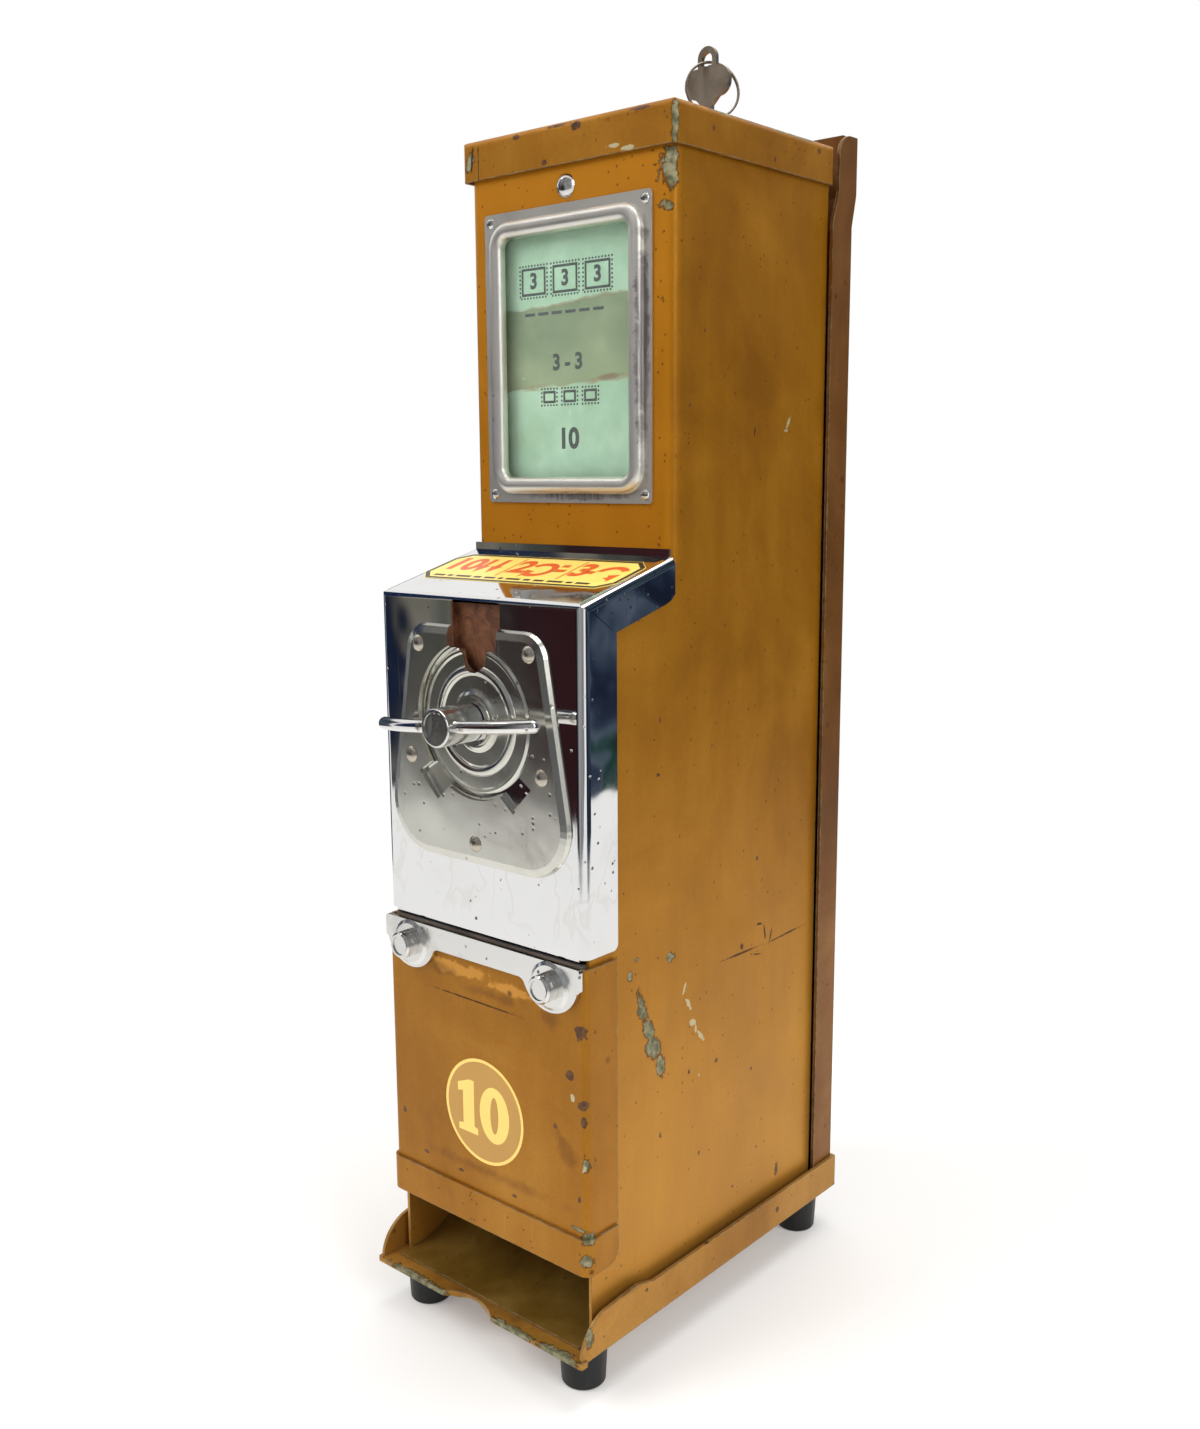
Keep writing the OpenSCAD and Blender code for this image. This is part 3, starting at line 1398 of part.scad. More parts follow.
module retainer_outline() {
    intersection() {
        union() {
            rounded_rect(-retainer_x, retainer_x, bar_low_z, bar_top_z, 1.2);
            for (side = [-1, 1]) translate([side * nut_x, lobe_z]) circle(lobe_r);
        }
        rounded_rect(-retainer_x, retainer_x, lobe_z - lobe_r - cut, bar_top_z, 1.2);
    }
    reach = lobe_r + lobe_fillet;
    fillet_dz = lobe_z - (bar_low_z - lobe_fillet);
    fillet_dx = sqrt(reach * reach - fillet_dz * fillet_dz);
    fillet_x = nut_x - fillet_dx;
    for (side = [-1, 1]) scale([side, 1]) difference() {
        polygon([[fillet_x, bar_low_z + 0.1], [fillet_x, bar_low_z - lobe_fillet],
            [fillet_x + lobe_fillet * fillet_dx / reach,
                bar_low_z - lobe_fillet + lobe_fillet * fillet_dz / reach],
            [fillet_x + lobe_fillet + 1, bar_low_z + 0.1]]);
        translate([fillet_x, bar_low_z - lobe_fillet]) circle(lobe_fillet);
    }
}

module retainer_bar() color(chrome) placed() {
    difference() {
        union() {
            front_prism(bar_front_y, bar_back_y) retainer_outline();
            stud_places() translate([0, bar_front_y, 0]) rotate([90, 0, 0])
                cylinder(h = seat_h, r1 = seat_r, r2 = seat_r - 1.2);
        }
        stud_places() rod_y(0, bar_front_y - 2, 0, 0, stud_d / 2 + 0.2);
    }
}

module retainer_nuts() color(nickel) placed() {
    front_y = nut_back_y - nut_len;
    stud_places() difference() {
        union() {
            rod_y(0, front_y + 0.7, nut_back_y, 0, nut_d / 2);
            translate([0, front_y + 0.7, 0]) rotate([90, 0, 0])
                cylinder(h = 0.7, r1 = nut_d / 2, r2 = nut_d / 2 - 0.6);
        }
        rod_y(0, front_y - cut, nut_back_y + cut, 0, stud_d / 2 + press_gap);
        translate([1.2, 0, 0.4]) rod_y(0, front_y - cut, front_y + 2, 0, stud_d / 2 - 0.4);
    }
}

module cover_studs() color(nickel) placed() {
    stud_places() rod_y(0, nut_back_y - nut_len + 0.5, bracket_y + bracket_t + 2, 0, stud_d / 2);
}

module stud_bracket() color(zinc) placed() {
    low_z = nut_z - 9;
    high_z = cover_z - cover_t - 1.2;
    x1 = wall_x - touch_gap;
    difference() {
        union() {
            block(-x1, x1, bracket_y, bracket_y + bracket_t, low_z, high_z);
            both_sides() block(x1 - bracket_t, x1, bracket_y, 13, low_z, high_z);
        }
        stud_places() rod_y(0, bracket_y - cut, bracket_y + bracket_t + cut, 0,
            stud_d / 2 + press_gap);
    }
}

// ---- lid, lock and key

module top_lid() color(paint) placed() {
    seam_x = -lid_x + 8.2;
    difference() {
        cap_mass(lid_x, lid_front_y, lid_back_y, lid_rim_z, lid_top_z, lid_corner_r, lid_edge_r);
        cap_mass(lid_x - lid_t, lid_front_y + lid_t, lid_back_y - lid_t, lid_rim_z - cut,
            lid_under_z, lid_in_r, lid_in_edge_r);
        rod_z(lock_x, lock_y, lid_under_z - cut, lid_top_z + cut, lock_d / 2 + press_gap);
        block(seam_x - 0.2, seam_x + 0.2, lid_front_y - cut, lid_front_y + 0.5,
            lid_rim_z - cut, lid_top_z - lid_edge_r);
    }
}

module lock_body() color(nickel) placed() {
    difference() {
        union() {
            rod_z(lock_x, lock_y, lock_low_z, lid_top_z + 0.4, lock_d / 2);
            translate([lock_x, lock_y, lid_top_z + touch_gap])
                cylinder(h = bezel_h - touch_gap, r1 = lock_d / 2 + 0.9, r2 = lock_d / 2 + 0.3);
        }
        rod_z(lock_x, lock_y, lock_low_z - cut, lid_top_z + 2, plug_r + run_fit);
    }
}

module lock_nut() color(zinc) placed() {
    difference() {
        translate([lock_x, lock_y, lid_under_z - 3 - touch_gap])
            cylinder(h = 3, r = lock_d / 2 + 3, $fn = 6);
        rod_z(lock_x, lock_y, lid_under_z - 5, lid_under_z + cut, lock_d / 2 + press_gap);
    }
}

module lock_plug() color(brass) placed() {
    difference() {
        union() {
            rod_z(lock_x, lock_y, lock_low_z - seat_gap, lid_top_z + bezel_h - 0.3, plug_r);
            rod_z(lock_x, lock_y, cam_top_z - cam_t - 0.8, lock_low_z, 3);
        }
        block(lock_x - blade_w / 2 - 0.2, lock_x + blade_w / 2 + 0.2, lock_y - key_t / 2 - 0.15,
            lock_y + key_t / 2 + 0.15, lid_top_z - blade_len - 0.5, lid_top_z + 3);
    }
}

// The cam points to the front when the lid is free, and to the right wall when locked
module lock_cam() color(zinc) placed() {
    cam_r = 5;
    difference() {
        plan_prism(cam_top_z - cam_t, cam_top_z) translate([lock_x, lock_y]) rotate(-90)
            slot_shape(0, cam_reach - cam_r, cam_r);
        rod_z(lock_x, lock_y, cam_top_z - cam_t - cut, cam_top_z + cut, 3 + press_gap);
    }
}

module door_key() color(nickel) placed() {
    half = bow_w / 2;
    translate([lock_x, 0, 0]) difference() {
        front_prism(lock_y - key_t / 2, lock_y + key_t / 2) difference() {
            union() {
                rounded_rect(-half, half, bow_z, bow_z + bow_h, 4.3);
                polygon([[-half + 2, bow_z + 2.2], [-neck_w / 2, bow_z - 2.6],
                    [neck_w / 2, bow_z - 2.6], [half - 2, bow_z + 2.2]]);
                translate([-neck_w / 2, lid_top_z]) square([neck_w, bow_rise]);
                translate([-blade_w / 2, lid_top_z - blade_len])
                    square([blade_w, blade_len + bezel_h - 0.4]);
                translate([0, eye_mid_z + 0.4]) circle(loop_w / 2);
                translate([-loop_w / 2, loop_z]) square([loop_w, eye_mid_z + 0.4 - loop_z]);
            }
            translate([0, eye_mid_z]) circle(eye_w / 2);
            translate([-eye_w / 2, eye_low_z]) square([eye_w, eye_mid_z - eye_low_z]);
            for (i = [0:3]) translate([blade_w / 2, lid_top_z - blade_len + 2.5 + 3 * i])
                rotate(45) square([1.2 + 0.3 * (i % 2), 1.2 + 0.3 * (i % 2)], center = true);
        }
    }
}

module key_ring() color(nickel) placed() {
    translate([lock_x, lock_y, ring_top_z]) rotate([0, -ring_lean, 0]) rotate([0, 0, ring_turn])
        translate([0, 0, -ring_r]) rotate([90, 0, 0])
            rotate_extrude($fn = 64) translate([ring_r, 0]) circle(ring_wire_d / 2, $fn = 24);
}

// ---- handle

module handle_barrel() color(chrome) placed() {
    edge = 0.7;
    r = barrel_d / 2;
    translate([0, 0, shaft_z]) difference() {
        rotate([90, 0, 0]) rotate_extrude() difference() {
            union() {
                polygon([[0, barrel_gap], [r, barrel_gap], [r, barrel_reach - edge],
                    [r - edge, barrel_reach], [0, barrel_reach]]);
                translate([r - edge, barrel_reach - edge]) circle(edge);
            }
            translate([-cut, barrel_reach - 0.35]) square([cut + r - 1.2, cut]);
            translate([-r, 0]) square([r, barrel_reach + cut]);
        }
        rod_y(0, shaft_front_y - 0.1, 0, 0, shaft_d / 2 + press_gap);
        rotate([0, -bar_lean, 0]) rod_x(-r - cut, r + cut, bar_y, 0, bar_d / 2 + press_gap);
    }
}

// Cross bar: straight through the barrel, with both arms swept back on an arc
module handle_bar() color(chrome) placed() {
    run = bar_half - bar_straight - bar_d / 2;
    arc_r = (run * run + bar_sweep * bar_sweep) / (2 * bar_sweep);
    arc_deg = asin(run / arc_r);
    r = bar_d / 2;
    translate([0, bar_y, shaft_z]) rotate([0, -bar_lean, 0]) {
        rod_x(-bar_straight, bar_straight, 0, 0, r);
        for (side = [0, 1]) mirror([side, 0, 0]) {
            translate([bar_straight, arc_r, 0]) rotate([0, 0, -90])
                rotate_extrude(angle = arc_deg, $fn = 64) translate([arc_r, 0]) circle(r, $fn = 32);
            translate([bar_straight + run, bar_sweep, 0]) rotate([0, 0, arc_deg])
                rotate([0, 90, 0]) rotate_extrude($fn = 32) intersection() {
                    circle(r);
                    square(2 * r);
                }
        }
    }
}

body_shell();
base_pan();
rubber_feet();
foot_screws();
floor_screws();
back_channel();
channel_spacers();
channel_screws();
window_frame();
frame_screws();
window_glass();
window_card();
card_retainer();
dome_screw();
lid_guide();
lock_striker();
mechanism_cover();
shield_plate();
shield_rivets();
dial_ring();
front_bush();
coin_track();
mechanism_plate();
plate_posts();
rear_bush();
spring_drum();
guide_studs();
bell_stud();
coin_chute();
coin_box();
box_runners();
lower_cover();
cover_band();
retainer_bar();
retainer_nuts();
cover_studs();
stud_bracket();
delivery_chute();
stock_shelf();
column_guides();
top_lid();
lock_body();
lock_nut();
lock_plug();
lock_cam();
door_key();
key_ring();
handle_barrel();
handle_bar();
handle_shaft();
coin_wheel();
crank_arm();
yoke_slide();
bell_crank();
pusher();
follower_weight();
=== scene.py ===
"""Looks of the stamp vending machine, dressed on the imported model.

Metres, +Z up, the front faces -Y. Places are typed in millimetres as the part's source
counts them, and at() turns them into the frame's metres.
"""

import json
import math

import bmesh
import bpy
from mathutils import Matrix, Vector

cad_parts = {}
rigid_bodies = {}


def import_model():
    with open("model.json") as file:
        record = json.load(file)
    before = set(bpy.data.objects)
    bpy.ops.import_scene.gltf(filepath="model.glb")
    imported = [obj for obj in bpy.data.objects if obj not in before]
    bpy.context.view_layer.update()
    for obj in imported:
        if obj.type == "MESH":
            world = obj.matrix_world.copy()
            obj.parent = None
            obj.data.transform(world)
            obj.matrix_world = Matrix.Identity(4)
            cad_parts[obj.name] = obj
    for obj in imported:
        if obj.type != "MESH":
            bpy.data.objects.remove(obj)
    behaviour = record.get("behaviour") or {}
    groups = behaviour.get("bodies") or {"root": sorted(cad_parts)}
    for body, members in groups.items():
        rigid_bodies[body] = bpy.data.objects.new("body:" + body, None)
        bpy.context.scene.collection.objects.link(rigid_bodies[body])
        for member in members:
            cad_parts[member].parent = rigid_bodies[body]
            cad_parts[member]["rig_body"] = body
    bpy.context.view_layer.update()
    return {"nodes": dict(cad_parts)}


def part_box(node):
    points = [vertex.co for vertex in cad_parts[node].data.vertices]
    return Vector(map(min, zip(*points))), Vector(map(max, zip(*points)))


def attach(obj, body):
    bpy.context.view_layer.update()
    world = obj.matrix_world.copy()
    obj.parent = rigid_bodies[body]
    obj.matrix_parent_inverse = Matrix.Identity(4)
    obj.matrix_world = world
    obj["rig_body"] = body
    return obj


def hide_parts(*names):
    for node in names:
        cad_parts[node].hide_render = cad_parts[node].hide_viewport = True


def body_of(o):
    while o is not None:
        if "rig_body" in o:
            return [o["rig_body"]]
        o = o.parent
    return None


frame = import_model()

MM = 0.001
DEPTH_MID = 63.75 * MM          # from the mechanism cover's face back to the frame's middle
BODY_SIDE_X = 44.5
BODY_FRONT_Y = 44.5
UPPER_FRONT_Z = 267             # where the body's upper front begins
LID_SIDE_X = 46.2
LID_FRONT_Y = 42.8
LID_TOP_EDGE_Z = 406.6
PAN_SIDE_X = 48.5
FRAME_Y = 43
CARD_Y = 47.6
CARD_MID_Z = 340
STAMP_ROW_Z = 359.4
DISC_Z = 85.3
SLOPE_EDGE_Z = 257.8
SLOPE_TURN = math.radians(15.5)
FACE_TURN = math.radians(90)
LABEL_MID = 26.5                # up the slope from its front edge
LABEL_HALF = (43, 12.4)
INK = 0.02                      # how thick a print is
FIGURE_SHARE = 0.69             # a numeral's height as a share of the font's size
MARK_DEPTH = 6                  # how far a wear mark reaches in front of and behind its face
nodes = frame["nodes"]
scene = bpy.context.scene


def at(x, y, z):
    """A place in millimetres, with y counted from the mechanism cover's face."""
    return Vector((x * MM, y * MM - DEPTH_MID, z * MM))


def tint(red, green, blue):
    """A colour as a painter reads it off a screen, 0 to 255, for a shader."""
    def linear(level):
        level /= 255
        return level / 12.92 if level <= 0.04045 else ((level + 0.055) / 1.055) ** 2.4
    return (linear(red), linear(green), linear(blue), 1.0)


# ---------------------------------------------------------------- finishes

class Finish:
    """A material that is built node by node."""

    def __init__(self, name, **sockets):
        self.material = bpy.data.materials.new(name)
        self.material.use_nodes = True
        self.tree = self.material.node_tree
        self.shader = self.tree.nodes["Principled BSDF"]
        self.place = self.tree.nodes.new("ShaderNodeTexCoord").outputs["Object"]
        for socket, value in sockets.items():
            self.shader.inputs[socket.replace("_", " ")].default_value = value

    def add(self, kind, inputs=None, **settings):
        made = self.tree.nodes.new(kind)
        for key, value in settings.items():
            setattr(made, key, value)
        for key, value in (inputs or {}).items():
            self.give(made.inputs[key], value)
        return made

    def give(self, socket, value):
        if isinstance(value, bpy.types.NodeSocket):
            self.tree.links.new(value, socket)
        else:
            socket.default_value = value

    def moved(self, stretch, turn=(0, 0, 0)):
        made = self.add("ShaderNodeMapping", {"Rotation": turn, "Scale": stretch})
        self.give(made.inputs["Vector"], self.place)
        return made.outputs[0]

    def noise(self, scale, detail=3.0, rough=0.5, where=None, warp=0.0):
        return self.add("ShaderNodeTexNoise", {
            "Vector": where or self.place, "Scale": scale, "Detail": detail,
            "Roughness": rough, "Distortion": warp}).outputs["Fac"]

    def cells(self, scale, channel, low, high):
        """How far the nearest dot is, and a share that picks out a few of the dots."""
        made = self.add("ShaderNodeTexVoronoi", {"Vector": self.place, "Scale": scale})
        parts = self.add("ShaderNodeSeparateColor", {"Color": made.outputs["Color"]})
        return made.outputs["Distance"], self.step(parts.outputs[channel], low, high)

    def ramp(self, value, *stops):
        made = self.add("ShaderNodeValToRGB", {"Fac": value})
        marks = made.color_ramp.elements
        while len(marks) < len(stops):
            marks.new(1.0)
        for mark, (place, colour) in zip(marks, stops):
            mark.position = place
            mark.color = colour if isinstance(colour, tuple) else (colour,) * 3 + (1.0,)
        return made.outputs["Color"]

    def step(self, value, low, high):
        made = self.add("ShaderNodeMapRange", {
            "Value": value, "From Min": low, "From Max": high}, interpolation_type="SMOOTHSTEP")
        return made.outputs["Result"]

    def sum(self, how, first, second=0.0):
        made = self.add("ShaderNodeMath", operation=how)
        self.give(made.inputs[0], first)
        self.give(made.inputs[1], second)
        return made.outputs[0]

    def times(self, first, second):
        return self.sum("MULTIPLY", first, second)

    def most(self, *values):
        total = values[0]
        for value in values[1:]:
            total = self.sum("MAXIMUM", total, value)
        return total

    def mix(self, share, under, over, how="MIX"):
        made = self.add("ShaderNodeMix", data_type="RGBA", blend_type=how)
        self.give(made.inputs["Factor"], share)
        self.give(made.inputs[6], under)
        self.give(made.inputs[7], over)
        return made.outputs[2]

    def coat(self, colour, share, strength, tone):
        """Lays a tone over a colour where the share says, as strong as given."""
        return self.mix(self.times(share, strength), colour, tone)

    def axis(self, letter):
        return self.add("ShaderNodeSeparateXYZ", {"Vector": self.place}).outputs[letter]

    def edges(self, radius):
        """1 on sharp edges and 0 on flats, from the difference that rounding would make."""
        bevel = self.add("ShaderNodeBevel", {"Radius": radius}, samples=8)
        flat = self.add("ShaderNodeNewGeometry").outputs["Normal"]
        dot = self.add("ShaderNodeVectorMath", {0: bevel.outputs[0], 1: flat},
                       operation="DOT_PRODUCT").outputs["Value"]
        return self.step(self.sum("SUBTRACT", 1.0, dot), 0.02, 0.3)

    def near(self, places):
        """1 in the middle of each stretched and turned round place, 0 at its rim, less outside."""
        closest = None
        for centre, size, turn in places:
            inside = self.add("ShaderNodeMapping", {
                "Vector": self.place, "Location": tuple(centre), "Rotation": turn,
                "Scale": tuple(s * MM for s in size)}, vector_type="TEXTURE").outputs[0]
            far = self.add("ShaderNodeVectorMath", {0: inside}, operation="LENGTH").outputs["Value"]
            closest = far if closest is None else self.sum("MINIMUM", closest, far)
        return self.sum("SUBTRACT", 1.0, closest)

    def mark(self, places, ragged, torn, low, soft):
        """1 inside the places, 0 outside, with borders torn by a noise."""
        torn_edge = self.times(self.sum("SUBTRACT", ragged, 0.5), torn)
        return self.step(self.sum("ADD", self.near(places), torn_edge), low, low + soft)

    def bump(self, height, distance, strength=1.0, under=None):
        made = self.add("ShaderNodeBump", {
            "Height": height, "Distance": distance, "Strength": strength})
        if under is not None:
            self.give(made.inputs["Normal"], under)
        return made.outputs[0]

    def wear(self, **sockets):
        for socket, value in sockets.items():
            self.give(self.shader.inputs[socket.replace("_", " ")], value)
        return self.material

    def shine(self, colour):
        """Makes a surface that only gives off light."""
        glow = self.add("ShaderNodeEmission", {"Color": colour})
        self.give(self.tree.nodes["Material Output"].inputs[0], glow.outputs[0])
        return self.material


def on_side(y, z, across, along, lean=0.0, x=BODY_SIDE_X):
    """A mark on the right side: half its width, half its length, and how far its top leans back."""
    return at(x, y, z), (MARK_DEPTH, across, along), (-math.radians(lean), 0, 0)


def on_front(x, z, across, along, lean=0.0, y=0.0):
    """A mark on a front: half its width, half its length, and how far its top leans right."""
    return at(x, y, z), (across, MARK_DEPTH, along), (0, math.radians(lean), 0)


def patch(x, y, z, *half_size):
    """A mark anywhere."""
    return at(x, y, z), half_size, (0, 0, 0)


def marks(kind, *rows, **where):
    return [kind(*row, **where) for row in rows]


# painted reflection: the pale tint laid on towards the foot for the floor's light
FOOT_SHEEN_PAINT = tint(214, 160, 78)
# painted light: the warm tint laid on the upper front where the lamps fall on it
FRONT_LIGHT_PAINT = tint(210, 134, 18)
THIN_PAINT = tint(206, 146, 62)
RUBBED_PAINT = tint(196, 152, 84)
SOAKED_PAINT = tint(104, 62, 22)
SPECK = tint(58, 34, 14)
CUT = tint(56, 34, 14)
RUST = tint(84, 52, 22)
FLECK = tint(192, 186, 150)


def worn_paint(name, dark, mid, light, bare=(), spots=(), flecks=(), scratches=(), stains=(),
               thinned=(), wear=1.0, foot=0.0, front=None):
    """Bronze enamel: clouded tone, fine grain, specks, scratches and chips to the primer, with painted
    light where asked: lighter towards the foot and warmer on the upper front.
    """
    f = Finish(name, Metallic=0.5, Specular_IOR_Level=0.22)
    cloud = f.noise(14, 5, 0.6, warp=0.6)
    streak = f.noise(1, 4, 0.6, f.moved((60, 60, 9)))
    tone = f.sum("ADD", f.times(cloud, 0.7), f.times(streak, 0.3))
    colour = f.ramp(tone, (0.36, dark), (0.5, mid), (0.66, light))
    grain = f.ramp(f.noise(1500, 2, 0.7), (0.3, 0.74), (0.7, 1.2))
    colour = f.mix(0.35, colour, grain, "MULTIPLY")
    if foot:
        # painted reflection: the paint is lightened towards the foot, standing for the white floor's
        # light in its gloss
        low = f.sum("ADD", f.axis("Z"), f.times(cloud, 0.06))
        colour = f.coat(colour, f.step(low, 0.24, 0.05), foot, FOOT_SHEEN_PAINT)
    if front is not None:
        # painted light: the upper front is painted warmer and lighter than the sides, as the lamps fall
        # on it more
        lit_front_share = f.step(f.axis("Y"), front.y + 1.4 * MM, front.y + 0.4 * MM)
        upper = f.step(f.axis("Z"), front.z, front.z + 3 * MM)
        colour = f.coat(colour, f.times(lit_front_share, upper), 0.45, FRONT_LIGHT_PAINT)
    if thinned:
        thin = f.mark(thinned, f.noise(200, 4, 0.6, warp=0.5), 2.4, 0.0, 0.4)
        colour = f.coat(colour, thin, 0.75, THIN_PAINT)
    if stains:
        soaked = f.mark(stains, f.noise(120, 4, 0.6, warp=0.5), 2.2, 0.0, 0.9)
        colour = f.coat(colour, soaked, 0.5, SOAKED_PAINT)
    # dark specks, a few to the hand's width, and finer ones
    close, chosen = f.cells(150, "Red", 0.88, 0.94)
    speck = f.times(chosen, f.step(close, f.times(f.noise(45, 1), 0.42), 0.06))
    close, chosen = f.cells(520, "Green", 0.92, 0.96)
    fine = f.times(chosen, f.step(close, 0.3, 0.1))
    colour = f.coat(colour, f.most(speck, fine), 0.7, SPECK)
    # thin upright scratches, lighter than the paint
    line = f.step(f.noise(1, 2, 0.5, f.moved((1400, 1400, 16))), 0.70, 0.76)
    rubbed = f.times(line, f.step(f.noise(25, 2), 0.5, 0.62))
    colour = f.coat(colour, rubbed, 0.32, RUBBED_PAINT)
    # chips at the edges and at their places: rust round the rim, grey primer inside
    ragged = f.noise(260, 5, 0.65, warp=0.8)
    rim = f.times(f.edges(1.2 * MM), f.times(f.noise(38, 3), 1.25 * wear))
    level = f.sum("ADD", f.times(ragged, 0.75), f.times(rim, 0.62))
    rust = f.step(level, 0.62, 0.66)
    primer = f.step(level, 0.67, 0.72)
    if bare:
        rust = f.most(rust, f.mark(bare, ragged, 2.6, -0.12, 0.1))
        primer = f.most(primer, f.mark(bare, ragged, 2.6, 0.12, 0.1))
    colour = f.coat(colour, rust, 0.8, RUST)
    colour = f.coat(colour, primer, 0.92, f.ramp(
        f.noise(420, 3), (0.35, tint(96, 98, 74)), (0.65, tint(160, 156, 124))))
    if spots:
        colour = f.coat(colour, f.mark(spots, ragged, 2.4, 0.05, 0.15), 0.85, f.ramp(
            f.noise(500, 3), (0.35, tint(50, 38, 42)), (0.6, tint(94, 68, 52))))
    if flecks:
        colour = f.coat(colour, f.mark(flecks, ragged, 3.0, 0.15, 0.15), 0.8, FLECK)
    if scratches:
        cut = f.mark(scratches, f.noise(300, 3, 0.6), 1.4, 0.0, 0.5)
        colour = f.coat(colour, cut, 0.9, CUT)
    rough = f.sum("ADD", f.times(f.noise(60, 4), 0.22), 0.29)
    rough = f.most(rough, f.times(primer, 0.66))
    relief = f.sum("SUBTRACT", f.times(f.noise(700, 2), 0.12), rust)
    return f.wear(Base_Color=colour, Roughness=rough, Normal=f.bump(relief, 0.25 * MM, 0.35))


def plated(name, base, rough_low, rough_high, haze=0.0, pits=0.5, wave=0.0, stains=(), seams=(),
           stain_colour=tint(72, 60, 58), smear=None):
    """Plating: clear metal with fine pits, wipe marks and a thin haze."""
    f = Finish(name, Metallic=1.0)
    cloud = f.noise(35, 5, 0.6, warp=0.5)
    close, chosen = f.cells(420, "Red", 0.93 - 0.1 * pits, 0.97)
    pit = f.times(chosen, f.step(close, 0.32, 0.12))
    pit = f.times(pit, f.step(f.noise(30, 3), 0.42, 0.6))
    colour = f.mix(f.times(f.step(cloud, 0.48, 0.75), haze), base, tint(150, 142, 126))
    colour = f.coat(colour, pit, 0.8, tint(60, 50, 40))
    rub = f.noise(1, 3, 0.6, f.moved((900, 900, 30), (0.5, 0.3, 0)))
    rough = f.sum("ADD", f.times(cloud, rough_high - rough_low), rough_low)
    rough = f.sum("ADD", rough, f.times(f.step(rub, 0.62, 0.75), 0.08))
    if smear:
        # dried water has left faint wavy rims between two heights
        low, high = smear
        z = f.axis("Z")
        band = f.times(f.step(z, low, low + 10 * MM), f.step(z, high, high - 15 * MM))
        swell = f.sum("SUBTRACT", f.noise(1, 2, 0.5, f.moved((70, 70, 40)), warp=0.8), 0.5)
        rims = f.times(f.step(f.sum("ABSOLUTE", swell), 0.035, 0.0), band)
        colour = f.coat(colour, rims, 0.12, tint(170, 158, 140))
        rough = f.sum("ADD", rough, f.times(band, f.times(cloud, 0.1)))
    if stains:
        scuffed = f.mark(stains, f.noise(150, 5, 0.7, warp=0.6), 2.4, 0.0, 0.6)
        scuffed = f.times(scuffed, f.ramp(rub, (0.4, 1.0), (0.66, 0.35)))
        colour = f.coat(colour, scuffed, 0.75, stain_colour)
        rough = f.most(rough, f.times(scuffed, 0.38))
    if seams:
        colour = f.coat(colour, f.mark(seams, cloud, 0.2, 0.0, 0.6), 0.85, tint(34, 32, 34))
    rough = f.most(rough, f.times(pit, 0.6))
    sheet = f.bump(f.noise(26, 2, 0.5), 4 * MM, wave)
    return f.wear(Base_Color=colour, Roughness=rough, Normal=f.bump(pit, -0.2 * MM, 0.4, sheet))


def plain_steel(name, base, shade, rough=0.45):
    f = Finish(name, Metallic=0.9)
    cloud = f.noise(50, 5, 0.6)
    brush = f.noise(1, 3, 0.6, f.moved((60, 60, 1200)))
    colour = f.mix(f.step(cloud, 0.35, 0.7), base, shade)
    rough_map = f.sum("ADD", f.times(brush, 0.2), rough - 0.1)
    return f.wear(Base_Color=colour, Roughness=rough_map, Normal=f.bump(brush, 0.1 * MM, 0.3))


def rubber():
    f = Finish("foot_rubber", Specular_IOR_Level=0.35)
    dust = f.step(f.noise(90, 5, 0.65), 0.5, 0.8)
    colour = f.mix(f.times(dust, 0.35), tint(18, 18, 20), tint(70, 66, 60))
    rough = f.sum("ADD", f.times(dust, 0.25), 0.42)
    return f.wear(Base_Color=colour, Roughness=rough, Normal=f.bump(f.noise(900, 3), 0.2 * MM, 0.3))


def rusted():
    f = Finish("rusted_steel", Metallic=0.3)
    cloud = f.noise(160, 6, 0.7, warp=1.0)
    colour = f.ramp(cloud, (0.3, tint(54, 32, 22)), (0.5, tint(98, 58, 34)), (0.7, tint(130, 84, 52)))
    return f.wear(Base_Color=colour, Roughness=f.sum("ADD", f.times(cloud, 0.4), 0.35),
                  Normal=f.bump(f.noise(600, 4), 0.2 * MM, 0.5))


def clear_glass():
    f = Finish("window_glass", Roughness=0.03, Alpha=0.06)
    f.material.surface_render_method = "BLENDED"
    smear = f.noise(30, 4, 0.6, warp=0.7)
    return f.wear(Base_Color=f.ramp(smear, (0.4, tint(205, 225, 218)), (0.7, tint(225, 238, 232))))


